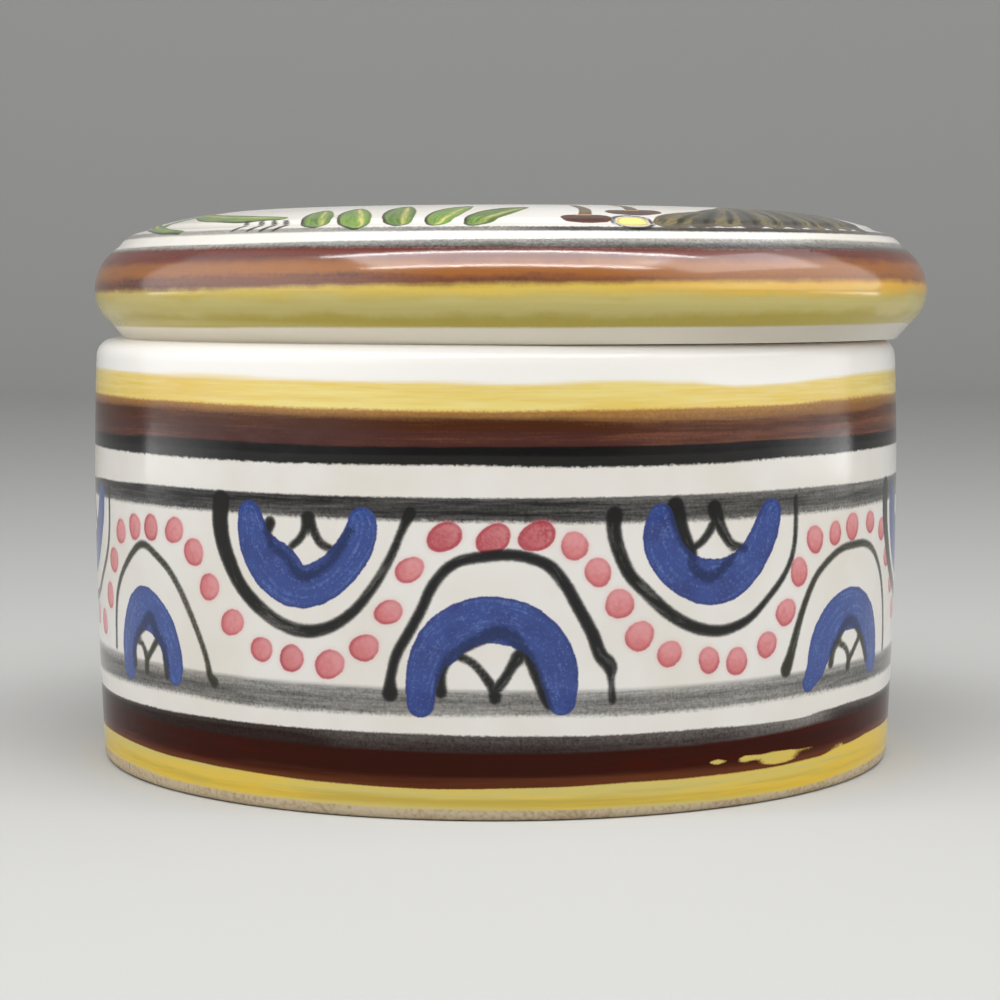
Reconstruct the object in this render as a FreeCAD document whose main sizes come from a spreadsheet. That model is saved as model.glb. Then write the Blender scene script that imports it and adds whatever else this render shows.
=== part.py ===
import FreeCAD, Part
import math
import os
import Sketcher
from FreeCAD import Vector

# Round ceramic box with a loose overhanging lid.
# The origin is the middle of the flat foot, +Z is up and lengths are millimetres.
# The box body is one fired piece: wall, floor, foot and rim.
# The lid is one fired piece: bun shaped edge, raised ring, low dome and locating flange.

# Driving dimensions: name, value in millimetres and what it measures.
SIZES = [
    ("body_height", 51.5, "foot to rim"),
    ("belly_radius", 50.0, "widest radius of the wall"),
    ("belly_height", 34.0, "height of the widest radius"),
    ("foot_draw_in", 0.85, "how far the wall draws in at the foot"),
    ("rim_draw_in", 0.45, "how far the wall draws in at the rim"),
    ("wall_thickness", 4.6, "wall at the rim"),
    ("floor_thickness", 5.0, "floor over the foot"),
    ("foot_edge_round", 0.8, "rounding of the bare foot edge"),
    ("outer_lip_round", 2.2, "rounding of the rim outside"),
    ("inner_lip_round", 0.9, "rounding of the rim inside"),
    ("floor_corner_round", 4.0, "rounding between wall and floor inside"),
    ("lid_overhang", 1.6, "lid edge beyond the widest wall"),
    ("lid_rise", 15.7, "seat to top of the dome"),
    ("lid_widest_rise", 5.8, "seat to the widest line of the edge"),
    ("seat_inset", 3.6, "lid edge to the end of the flat seat"),
    ("seat_edge_round", 0.4, "rounding where the seat ends"),
    ("bevel_inset", 1.9, "lid edge to the top of the lower bevel"),
    ("bevel_rise", 1.9, "seat to the top of the lower bevel"),
    ("shoulder_inset", 3.0, "lid edge to the foot of the raised ring"),
    ("shoulder_rise", 11.1, "seat to the foot of the raised ring"),
    ("ring_inset", 6.2, "lid edge to the inside of the raised ring"),
    ("ring_rise", 12.95, "seat to the inside of the raised ring"),
    ("ring_round", 4.0, "radius of the raised ring's back"),
    ("dome_inset", 7.2, "lid edge to the foot of the dome"),
    ("dome_foot_rise", 13.55, "seat to the foot of the dome"),
    ("crown_drop", 0.25, "top of the dome to the edge of its flat crown"),
    ("flange_play", 2.0, "gap all round between flange and wall"),
    ("flange_thickness", 4.0, "wall of the locating flange"),
    ("flange_depth", 5.0, "seat to the end of the flange"),
    ("flange_edge_round", 0.9, "rounding of the flange's two edges"),
    ("roof_thickness", 5.0, "lid over its hollow"),
    ("roof_corner_round", 5.0, "rounding between hollow and flange"),
    ("cut_overrun", 2.0, "how far a cut runs past the piece"),
]

# Shares: the crown's radius is a share of the lid's, and the lid sits off centre by a share of its play.
SHARES = [
    ("crown_share", 0.62, "radius of the flat crown over the lid's radius"),
    ("sideways_share", 0.92, "sideways shift of the lid over the flange's play"),
]

FULL_TURN = 360
MIDDLE_SHARE = 0.5
EDGE_MATCH = 1e-4

os.makedirs("parts", exist_ok=True)
doc = FreeCAD.newDocument("lidded_box")

sheet = doc.addObject("Spreadsheet::Sheet", "sizes")
for row, (alias, value, note) in enumerate(SIZES + SHARES, start=1):
    sheet.set(f"A{row}", note)
    sheet.set(f"B{row}", str(value))
    sheet.setAlias(f"B{row}", alias)
doc.recompute()

# Radii and heights that follow from the driving dimensions.
AXIS = "0"
BASE = "0"
FOOT_RADIUS = "sizes.belly_radius - sizes.foot_draw_in"
RIM_RADIUS = "sizes.belly_radius - sizes.rim_draw_in"
BORE_RADIUS = f"{RIM_RADIUS} - sizes.wall_thickness"
SEAT_HEIGHT = "sizes.body_height"
LID_RADIUS = "sizes.belly_radius + sizes.lid_overhang"
LID_TOP = f"{SEAT_HEIGHT} + sizes.lid_rise"
FLANGE_RADIUS = f"{BORE_RADIUS} - sizes.flange_play"
HOLLOW_RADIUS = f"{FLANGE_RADIUS} - sizes.flange_thickness"
FLANGE_END = f"{SEAT_HEIGHT} - sizes.flange_depth"
HOLLOW_TOP = f"{LID_TOP} - sizes.roof_thickness"


def size(expression):
    """Value of an expression of the sheet's names."""
    return float(sheet.evalExpression(expression))


# Legs of an outline. Each says how the outline runs on from its point to the next one.
def line():
    return ("line", None)


def arc_about_level(height):
    """Arc whose centre is at a height, so it stands upright where it crosses that height."""
    return ("level", height)


def arc_about_axis():
    """Arc whose centre is on the turning axis."""
    return ("axis", None)


def arc_of_radius(radius):
    """Short arc of a radius that swells away from the turning axis."""
    return ("radius", radius)


def arc_running_on():
    """Arc that leaves the leg before it smoothly."""
    return ("smooth", None)


def arc_centre(kind, value, start, end, last_centre):
    """Centre of an arc from start to end in the sketch."""
    chord = end - start
    middle = start + chord * MIDDLE_SHARE
    if kind == "level":
        level = size(value)
        along = (middle - Vector(0, level, 0)).dot(chord) / chord.x
        return Vector(along, level, 0)
    if kind == "axis":
        return Vector(0, middle.dot(chord) / chord.y, 0)
    if kind == "radius":
        reach = math.sqrt(size(value) ** 2 - (chord.Length * MIDDLE_SHARE) ** 2)
        inward = Vector(chord.y, -chord.x, 0).normalize()
        inward = inward if inward.x < 0 else -inward
        return middle + inward * reach
    normal = (last_centre - start).normalize()
    return start + normal * (chord.dot(chord) * MIDDLE_SHARE / normal.dot(chord))


def arc_through(start, end, centre):
    """The shorter arc about a centre from start to end."""
    middle = start + (end - start) * MIDDLE_SHARE
    outward = (middle - centre).normalize()
    return Part.Arc(start, centre + outward * (start - centre).Length, end)


def origin_plane(body, role):
    """One of the body's own origin planes."""
    return [item for item in body.Origin.OriginFeatures if item.Role == role][0]


def place_point(sketch, curve, end, point, place):
    """Hold a sketch point at a radius and a height, both expressions of the sheet's names."""
    radius, height = place
    if radius == AXIS:
        sketch.addConstraint(Sketcher.Constraint("PointOnObject", curve, end, -2))
    else:
        across = sketch.addConstraint(Sketcher.Constraint("DistanceX", -1, 1, curve, end, point.x))
        sketch.setExpression(f"Constraints[{across}]", radius)
    if height == BASE:
        sketch.addConstraint(Sketcher.Constraint("PointOnObject", curve, end, -1))
    else:
        upward = sketch.addConstraint(Sketcher.Constraint("DistanceY", -1, 1, curve, end, point.y))
        sketch.setExpression(f"Constraints[{upward}]", height)


def shape_arc(sketch, curve, start_end, kind, value, centre, last):
    """Give an arc between two held points the one constraint that settles its bend."""
    if kind == "level":
        level = sketch.addConstraint(Sketcher.Constraint("DistanceY", -1, 1, curve, 3, centre.y))
        sketch.setExpression(f"Constraints[{level}]", value)
    elif kind == "axis":
        sketch.addConstraint(Sketcher.Constraint("PointOnObject", curve, 3, -2))
    elif kind == "radius":
        bend = sketch.addConstraint(Sketcher.Constraint("Radius", curve, size(value)))
        sketch.setExpression(f"Constraints[{bend}]", value)
    else:
        last_curve, last_end = last
        sketch.addConstraint(Sketcher.Constraint("Tangent", last_curve, last_end, curve, start_end))


def half_section(body, name, outline):
    """Closed half section in the body's XZ plane, to be turned about its Z axis.

    The outline is a list of (radius, height, leg), with radius and height as expressions.
    """
    sketch = body.newObject("Sketcher::SketchObject", name)
    sketch.AttachmentSupport = [(origin_plane(body, "XZ_Plane"), "")]
    sketch.MapMode = "FlatFace"
    places = [(radius, height) for radius, height, _ in outline]
    points = [Vector(size(radius), size(height), 0) for radius, height in places]
    curves = []
    centres = []
    for index, (_, _, (kind, value)) in enumerate(outline):
        start = points[index]
        end = points[(index + 1) % len(points)]
        centre = None
        if kind == "line":
            curve = sketch.addGeometry(Part.LineSegment(start, end))
            ends = (1, 2)
        else:
            centre = arc_centre(kind, value, start, end, centres[-1] if centres else None)
            curve = sketch.addGeometry(arc_through(start, end, centre))
            turned = (sketch.getPoint(curve, 1) - start).Length > EDGE_MATCH
            ends = (2, 1) if turned else (1, 2)
        centres.append(centre)
        curves.append((curve, ends))
    for index, (_, _, (kind, value)) in enumerate(outline):
        curve, (first, second) = curves[index]
        last_curve, last_ends = curves[index - 1]
        place_point(sketch, curve, first, points[index], places[index])
        if kind != "smooth":
            sketch.addConstraint(Sketcher.Constraint("Coincident", last_curve, last_ends[1], curve, first))
        if kind != "line":
            shape_arc(sketch, curve, first, kind, value, centres[index], (last_curve, last_ends[1]))
    return sketch


def turn(body, kind, name, sketch):
    """Turn a half section a full turn about the body's Z axis, to add or to cut."""
    feature = body.newObject(f"PartDesign::{kind}", name)
    feature.Profile = sketch
    feature.ReferenceAxis = (sketch, ["V_Axis"])
    feature.Angle = FULL_TURN
    sketch.Visibility = False
    doc.recompute()
    return feature


def ring_edge(shape, radius, height):
    """Name of the circular edge at a radius and height."""
    for number, edge in enumerate(shape.Edges, start=1):
        if edge.Degenerated or not isinstance(edge.Curve, Part.Circle):
            continue
        curve = edge.Curve
        if abs(curve.Radius - size(radius)) < EDGE_MATCH and abs(curve.Center.z - size(height)) < EDGE_MATCH:
            return f"Edge{number}"
    raise ValueError(f"no round edge at radius {radius} and height {height}")


def round_edges(body, name, radius, places):
    """Round the circular edges at the given radii and heights."""
    base = body.Tip
    feature = body.newObject("PartDesign::Fillet", name)
    feature.Base = (base, [ring_edge(base.Shape, *place) for place in places])
    feature.Radius = size(radius)
    feature.setExpression("Radius", radius)
    doc.recompute()
    return feature


def make_box_body():
    """Slightly barrelled wall with floor, flat foot and rounded rim."""
    body = doc.addObject("PartDesign::Body", "box_body")
    form = half_section(body, "body_form_section", [
        (AXIS, BASE, line()),
        (FOOT_RADIUS, BASE, arc_about_level("sizes.belly_height")),
        ("sizes.belly_radius", "sizes.belly_height", arc_about_level("sizes.belly_height")),
        (RIM_RADIUS, SEAT_HEIGHT, line()),
        (AXIS, SEAT_HEIGHT, line()),
    ])
    turn(body, "Revolution", "body_form", form)
    mouth = f"{SEAT_HEIGHT} + sizes.cut_overrun"
    inside = half_section(body, "body_inside_section", [
        (AXIS, "sizes.floor_thickness", line()),
        (BORE_RADIUS, "sizes.floor_thickness", line()),
        (BORE_RADIUS, mouth, line()),
        (AXIS, mouth, line()),
    ])
    turn(body, "Groove", "body_inside", inside)
    round_edges(body, "outer_lip", "sizes.outer_lip_round", [(RIM_RADIUS, SEAT_HEIGHT)])
    round_edges(body, "inner_lip", "sizes.inner_lip_round", [(BORE_RADIUS, SEAT_HEIGHT)])
    round_edges(body, "floor_corner", "sizes.floor_corner_round", [(BORE_RADIUS, "sizes.floor_thickness")])
    round_edges(body, "foot_edge", "sizes.foot_edge_round", [(FOOT_RADIUS, BASE)])
    return body


def make_lid():
    """Overhanging lid with a bun shaped edge, a raised ring, a low dome and a flange inside."""
    body = doc.addObject("PartDesign::Body", "lid")
    widest = f"{SEAT_HEIGHT} + sizes.lid_widest_rise"
    seat_edge = f"{LID_RADIUS} - sizes.seat_inset"
    form = half_section(body, "lid_form_section", [
        (AXIS, LID_TOP, arc_about_axis()),
        (f"({LID_RADIUS}) * sizes.crown_share", f"{LID_TOP} - sizes.crown_drop", arc_running_on()),
        (f"{LID_RADIUS} - sizes.dome_inset", f"{SEAT_HEIGHT} + sizes.dome_foot_rise", line()),
        (f"{LID_RADIUS} - sizes.ring_inset", f"{SEAT_HEIGHT} + sizes.ring_rise",
         arc_of_radius("sizes.ring_round")),
        (f"{LID_RADIUS} - sizes.shoulder_inset", f"{SEAT_HEIGHT} + sizes.shoulder_rise",
         arc_about_level(widest)),
        (LID_RADIUS, widest, arc_about_level(widest)),
        (f"{LID_RADIUS} - sizes.bevel_inset", f"{SEAT_HEIGHT} + sizes.bevel_rise", line()),
        (seat_edge, SEAT_HEIGHT, line()),
        (FLANGE_RADIUS, SEAT_HEIGHT, line()),
        (FLANGE_RADIUS, FLANGE_END, line()),
        (AXIS, FLANGE_END, line()),
    ])
    turn(body, "Revolution", "lid_form", form)
    below = f"{FLANGE_END} - sizes.cut_overrun"
    hollow = half_section(body, "lid_hollow_section", [
        (AXIS, below, line()),
        (HOLLOW_RADIUS, below, line()),
        (HOLLOW_RADIUS, HOLLOW_TOP, line()),
        (AXIS, HOLLOW_TOP, line()),
    ])
    turn(body, "Groove", "lid_hollow", hollow)
    round_edges(body, "roof_corner", "sizes.roof_corner_round", [(HOLLOW_RADIUS, HOLLOW_TOP)])
    round_edges(body, "flange_edges", "sizes.flange_edge_round", [
        (FLANGE_RADIUS, FLANGE_END),
        (HOLLOW_RADIUS, FLANGE_END),
    ])
    round_edges(body, "seat_edge", "sizes.seat_edge_round", [(seat_edge, SEAT_HEIGHT)])
    body.setExpression("Placement.Base.x", "sizes.flange_play * sizes.sideways_share")
    return body


pieces = [make_box_body(), make_lid()]
doc.recompute()

for item in doc.Objects:
    faults = {"Invalid", "Error"} & set(item.State)
    if faults:
        raise RuntimeError(f"{item.Name} is {sorted(faults)}")

for piece in pieces:
    shape = piece.Shape
    if shape.isNull() or not shape.isValid() or len(shape.Solids) != 1:
        raise RuntimeError(f"{piece.Label} is not one sound solid")
    shape.exportStep(os.path.join("parts", f"{piece.Label}.step"))
    box = shape.optimalBoundingBox()
    print(piece.Label, "volume", round(shape.Volume), "size", round(box.XLength, 2), round(box.YLength, 2),
          round(box.ZLength, 2), "top", round(box.ZMax, 2))
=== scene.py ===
import math

import bpy
import numpy as np
from bpy.props import FloatProperty, FloatVectorProperty, IntProperty, PointerProperty
from mathutils import Euler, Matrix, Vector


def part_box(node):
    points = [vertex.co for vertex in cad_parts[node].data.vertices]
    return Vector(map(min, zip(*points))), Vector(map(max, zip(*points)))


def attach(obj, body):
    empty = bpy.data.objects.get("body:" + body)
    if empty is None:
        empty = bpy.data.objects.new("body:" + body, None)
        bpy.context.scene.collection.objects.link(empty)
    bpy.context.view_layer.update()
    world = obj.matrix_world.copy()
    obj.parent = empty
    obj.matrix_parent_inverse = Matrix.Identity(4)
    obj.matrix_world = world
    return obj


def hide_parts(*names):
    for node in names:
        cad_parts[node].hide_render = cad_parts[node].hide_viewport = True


bl_info = {
    "name": "Painted pottery box",
    "version": (1, 0, 0),
    "blender": (4, 5, 0),
    "location": "3D View > Sidebar > Pottery box",
    "description": "Dresses a round lidded box with thrown surfaces, brushed colours and clear glaze",
    "category": "Add Mesh",
}

# The frame holds the two fired pieces at their real size. Sizes that it gives are read from it here.
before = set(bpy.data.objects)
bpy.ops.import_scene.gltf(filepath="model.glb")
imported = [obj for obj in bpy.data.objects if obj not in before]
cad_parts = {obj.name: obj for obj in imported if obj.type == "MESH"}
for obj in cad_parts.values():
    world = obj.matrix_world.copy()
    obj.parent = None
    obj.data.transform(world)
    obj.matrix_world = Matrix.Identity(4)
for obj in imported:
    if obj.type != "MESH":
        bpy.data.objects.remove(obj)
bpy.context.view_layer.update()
BODY_LOW, BODY_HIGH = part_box("box_body")
LID_LOW, LID_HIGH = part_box("lid")
LID_AXIS = (LID_LOW.x + LID_HIGH.x) / 2

# Painting is measured in millimetres, and in degrees round the wall from the front to the right.
MM = 0.001
FULL_TURN = 2 * math.pi
SHEET_RADIUS = 50.0
SHEET_TURN = FULL_TURN * SHEET_RADIUS
DEGREE_ON_SHEET = math.radians(1) * SHEET_RADIUS
NOWHERE = 1e4
FAR = 9.0
SHARP_FROM = math.radians(40)


def srgb(red, green, blue):
    """Scene colour of a screen colour given from 0 to 255."""
    shares = [channel / 255 for channel in (red, green, blue)]
    return tuple(((s + 0.055) / 1.055) ** 2.4 if s > 0.04045 else s / 12.92 for s in shares)


def length(name, description, default):
    """A length property in metres, from a default in millimetres."""
    return FloatProperty(name=name, description=description, default=default * MM, unit="LENGTH",
                         precision=4)


def amount(name, description, default):
    """A plain number property."""
    return FloatProperty(name=name, description=description, default=default)


def count(name, description, default):
    """A whole number property for divisions round a piece."""
    return IntProperty(name=name, description=description, default=default, min=90)


def colour(name, description, default):
    """A colour property."""
    return FloatVectorProperty(name=name, description=description, default=default, subtype="COLOR",
                               size=3, min=0, max=1)


class BodySizes(bpy.types.PropertyGroup):
    """Sizes of the thrown body."""

    belly_height: length("Belly height", "Height of the widest line of the wall", 34.0)
    foot_draw_in: length("Foot draw-in", "How far the wall draws in at the foot", 0.85)
    rim_draw_in: length("Rim draw-in", "How far the wall draws in at the rim", 0.45)
    wall: length("Wall", "Thickness of the wall at the rim", 4.6)
    floor: length("Floor", "Thickness of the floor", 5.0)
    foot_round: length("Foot edge", "Rounding of the bare foot edge", 0.8)
    outer_lip: length("Outer lip", "Rounding of the rim outside", 2.2)
    inner_lip: length("Inner lip", "Rounding of the rim inside", 0.9)
    floor_round: length("Floor corner", "Rounding between wall and floor inside", 4.0)


class LidSizes(bpy.types.PropertyGroup):
    """Sizes of the lid, with heights over its seat and insets from its widest edge."""

    widest_rise: length("Widest line", "Seat to the widest line of the edge", 5.8)
    seat_inset: length("Seat inset", "Lid edge to the end of the flat seat", 3.6)
    seat_round: length("Seat edge", "Rounding where the seat ends", 0.4)
    bevel_inset: length("Bevel inset", "Lid edge to the top of the lower bevel", 1.9)
    bevel_rise: length("Bevel rise", "Seat to the top of the lower bevel", 1.9)
    shoulder_inset: length("Shoulder inset", "Lid edge to the foot of the raised ring", 3.0)
    shoulder_rise: length("Shoulder rise", "Seat to the foot of the raised ring", 11.1)
    ring_inset: length("Ring inset", "Lid edge to the inside of the raised ring", 6.2)
    ring_rise: length("Ring rise", "Seat to the inside of the raised ring", 12.95)
    ring_round: length("Ring back", "Radius of the raised ring's back", 4.0)
    dome_inset: length("Dome inset", "Lid edge to the foot of the dome", 7.2)
    dome_rise: length("Dome foot", "Seat to the foot of the dome", 13.55)
    crown_drop: length("Crown drop", "Top of the dome to the edge of its flat crown", 0.25)
    crown_radius: length("Crown", "Radius of the flat crown", 31.992)
    flange_radius: length("Flange", "Outer radius of the locating flange", 42.95)
    flange_wall: length("Flange wall", "Thickness of the locating flange", 4.0)
    flange_round: length("Flange edge", "Rounding of the flange's edges", 0.9)
    roof: length("Roof", "Thickness of the lid over its hollow", 5.0)
    roof_round: length("Roof corner", "Rounding between hollow and flange", 5.0)


class MeshGrid(bpy.types.PropertyGroup):
    """How finely the turned surfaces are divided, which sets how crisp the brushwork is."""

    body_columns: count("Body columns", "Divisions round the body", 700)
    lid_columns: count("Lid columns", "Divisions round the lid", 624)
    brush_rows: length("Brushed rows", "Spacing of the rows where figures are painted", 0.46)
    band_rows: length("Banded rows", "Spacing of the rows where only bands are painted", 0.95)
    plain_rows: length("Plain rows", "Spacing of the rows on plain glaze", 4.0)


class GlazeColours(bpy.types.PropertyGroup):
    """Colours of the glaze, the brushed oxides and the bare clay."""

    rim_white: colour("Rim white", "Thick white glaze at the rim", srgb(246, 243, 238))
    white: colour("White glaze", "Ground under the brushwork", srgb(227, 224, 219))
    cream: colour("Cream glaze", "Thicker, warmer parts of the ground", srgb(221, 216, 206))
    warm_white: colour("Warm white", "Thin glaze under the lid's edge", srgb(234, 224, 202))
    lemon: colour("Lemon", "Thin yellow", srgb(237, 220, 130))
    golden: colour("Golden", "Full yellow", srgb(226, 190, 70))
    amber: colour("Amber", "Warmest yellow on the lid", srgb(224, 168, 44))
    # The lowest yellow on the lid is olive partly as its own colour and partly as painted shade where the
    # edge faces down.
    olive_yellow_and_shade: colour("Olive yellow", "Lowest yellow on the lid", srgb(178, 159, 32))
    mustard: colour("Mustard", "Yellow in the lower bands", srgb(188, 160, 58))
    straw: colour("Straw", "Thin yellow in the lower bands", srgb(203, 188, 112))
    ochre: colour("Ochre", "Brown washed over yellow", srgb(158, 102, 48))
    red_brown: colour("Red brown", "Full brown of the upper band", srgb(64, 18, 7))
    fox_brown: colour("Fox brown", "Thin brown of the upper band", srgb(118, 66, 38))
    oxblood: colour("Oxblood", "Dark brown of the lower band", srgb(52, 20, 12))
    toffee: colour("Toffee", "Ochre ring on the lid's edge", srgb(148, 86, 19))
    brick: colour("Brick", "Red brown on the lid's edge", srgb(99, 32, 14))
    # Charcoal also paints the shade on the white strip under the lid's edge.
    charcoal: colour("Charcoal", "Black lines", srgb(10, 10, 11))
    olive: colour("Olive black", "Thin black at the sides", srgb(44, 42, 24))
    cobalt: colour("Cobalt", "Blue of the arches", srgb(43, 66, 133))
    pale_cobalt: colour("Pale cobalt", "Flecks and streaks in the blue", srgb(86, 112, 172))
    deep_cobalt: colour("Deep cobalt", "Blue where the brush rested", srgb(36, 44, 104))
    drowned: colour("Drowned blue", "Blue over black", srgb(27, 40, 78))
    rose: colour("Rose", "Dots", srgb(202, 104, 108))
    blush: colour("Blush", "Thin colour in the dots", srgb(216, 140, 142))
    crimson: colour("Crimson", "Rims of the dots", srgb(168, 44, 60))
    leaf: colour("Leaf", "Green of the leaves", srgb(118, 152, 62))
    moss: colour("Moss", "Darker green of the leaves", srgb(78, 104, 44))
    dusk: colour("Dusk", "Grey brown plumes on the lid", srgb(50, 45, 33))
    clay: colour("Clay", "Bare fired clay", srgb(196, 180, 152))
    dark_clay: colour("Dark clay", "Stains in the bare clay", srgb(168, 146, 116))


class StudioSizes(bpy.types.PropertyGroup):
    """Camera and soft lamps."""

    lens: amount("Lens", "Focal length of the camera in millimetres", 90.72)
    camera_side: length("Camera to the side", "Camera's offset to the right", 0.53)
    camera_back: length("Camera distance", "Camera to the axis of the body", 317.8)
    camera_height: length("Camera height", "Camera over the floor", 56.85)
    camera_tilt: FloatProperty(name="Camera tilt", description="Downward tilt of the camera",
                               default=math.radians(4.63), subtype="ANGLE")
    image_drop: amount("Image shift", "Vertical shift of the image", -0.0015)
    top_lamp: amount("Top lamp", "Power of the overhead soft lamp", 2.45)
    far_tube: amount("Far tube", "Power of the tube at the top lamp's far side", 0.85)
    near_tube: amount("Near tube", "Power of the tube at its near side", 0.62)
    right_sheen: amount("Right sheen", "Power of the lamp that only gleams in the glaze", 0.9)
    left_lamp: amount("Left lamp", "Power of the soft lamp on the left", 0.0142)
    right_lamp: amount("Right lamp", "Power of the soft lamp on the right", 0.0175)
    side_glow: amount("Side glow", "Strength of the soft light from both sides", 1.38)
    sky: amount("Sky", "Strength of the even surrounding light", 0.1)
    floor: colour("Floor", "Colour of the plain floor and backdrop", srgb(186, 186, 184))
    backdrop_glow: amount("Backdrop", "Extra paleness of the backdrop", 0.14)


# Section outlines in metres


def straight(start, end, spacing):
    """Points from start to end, without the end."""
    steps = max(1, round(math.dist(start, end) / spacing))
    share = np.linspace(0, 1, steps, endpoint=False)[:, None]
    return np.array(start) * (1 - share) + np.array(end) * share


def bend(start, end, centre, spacing):
    """Points of the shorter arc about a centre from start to end, without the end."""
    first = math.atan2(start[1] - centre[1], start[0] - centre[0])
    turned = math.atan2(end[1] - centre[1], end[0] - centre[0]) - first
    turned = (turned + math.pi) % FULL_TURN - math.pi
    radius = math.dist(start, centre)
    steps = max(3, round(abs(turned) * radius / spacing))
    angle = first + np.linspace(0, turned, steps, endpoint=False)
    return np.stack([centre[0] + radius * np.cos(angle), centre[1] + radius * np.sin(angle)], axis=1)


def turn_up(start, end, spacing):
    """Quarter round that starts level and ends upright, without the end."""
    return bend(start, end, (start[0], end[1]), spacing)


def turn_over(start, end, spacing):
    """Quarter round that starts upright and ends level, without the end."""
    return bend(start, end, (end[0], start[1]), spacing)


def centre_at_level(start, end, level):
    """Centre of the arc through two points whose centre is at a height."""
    gap = (start[0] ** 2 - end[0] ** 2 + (start[1] - level) ** 2 - (end[1] - level) ** 2)
    return (gap / (2 * (start[0] - end[0])), level)


def centre_on_axis(start, end):
    """Centre of the arc through two points whose centre is on the axis."""
    gap = start[0] ** 2 - end[0] ** 2 + start[1] ** 2 - end[1] ** 2
    return (0.0, gap / (2 * (start[1] - end[1])))


def centre_of_radius(start, end, radius):
    """Centre, towards the axis, of the arc of a radius through two points."""
    chord = np.array(end) - np.array(start)
    reach = math.sqrt(radius ** 2 - (np.linalg.norm(chord) / 2) ** 2)
    inward = np.array([chord[1], -chord[0]]) / np.linalg.norm(chord)
    inward = inward if inward[0] < 0 else -inward
    return tuple((np.array(start) + np.array(end)) / 2 + inward * reach)


def centre_running_on(start, end, last_centre):
    """Centre of the arc that leaves its start in line with the arc about the last centre."""
    normal = np.array(last_centre) - np.array(start)
    normal = normal / np.linalg.norm(normal)
    chord = np.array(end) - np.array(start)
    return tuple(np.array(start) + normal * (chord @ chord / (2 * (normal @ chord))))


class Section:
    """Half section of a turned piece, as points with a named stretch for each."""

    def __init__(self):
        self.points = []
        self.stretches = []

    def add(self, stretch, points):
        """Add points that belong to a named stretch."""
        self.points.extend(points)
        self.stretches.extend([stretch] * len(points))

    def close(self, stretch, end):
        """Add the last point, on the axis."""
        self.add(stretch, [end])

    def arrays(self):
        """Radius and height of each point, the stretches, and the length along the section."""
        points = np.array(self.points)
        run = np.concatenate([[0], np.cumsum(np.hypot(*np.diff(points, axis=0).T))])
        return points, np.array(self.stretches), run


def body_section(sizes, grid):
    """Section of the body, from the middle of the foot up the outside and down inside."""
    belly = (BODY_HIGH.x - BODY_LOW.x) / 2
    top = BODY_HIGH.z
    brushed, banded, plain = grid.brush_rows, grid.band_rows, grid.plain_rows

    def wall_radius(height):
        below = height < sizes.belly_height
        draw_in = sizes.foot_draw_in if below else sizes.rim_draw_in
        reach = sizes.belly_height if below else top - sizes.belly_height
        return belly - draw_in * ((height - sizes.belly_height) / reach) ** 2

    def wall(start, end, spacing):
        levels = np.linspace(start, end, round((end - start) / spacing), endpoint=False)
        return [(wall_radius(level), level) for level in levels]

    foot_height = sizes.foot_round
    foot = wall_radius(foot_height)
    lip_height = top - sizes.outer_lip
    lip = wall_radius(lip_height)
    bore = belly - sizes.rim_draw_in - sizes.wall
    figures_low, figures_high = FIGURES_FROM * MM, FIGURES_TO * MM
    section = Section()
    section.add("under", straight((0, 0), (foot - foot_height, 0), plain))
    section.add("wall", turn_up((foot - foot_height, 0), (foot, foot_height), banded / 2))
    section.add("wall", wall(foot_height, figures_low, banded))
    section.add("wall", wall(figures_low, figures_high, brushed))
    section.add("wall", wall(figures_high, lip_height, banded))
    section.add("wall", turn_over((lip, lip_height), (lip - sizes.outer_lip, top), banded / 2))
    section.add("wall", straight((lip - sizes.outer_lip, top), (bore + sizes.inner_lip, top), banded))
    section.add("bore", turn_up((bore + sizes.inner_lip, top), (bore, top - sizes.inner_lip), banded / 2))
    corner = sizes.floor + sizes.floor_round
    section.add("bore", straight((bore, top - sizes.inner_lip), (bore, corner), plain))
    floor_edge = (bore - sizes.floor_round, sizes.floor)
    section.add("bore", turn_over((bore, corner), floor_edge, banded))
    section.add("floor", straight(floor_edge, (0, sizes.floor), plain))
    section.close("floor", (0, sizes.floor))
    return section


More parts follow.
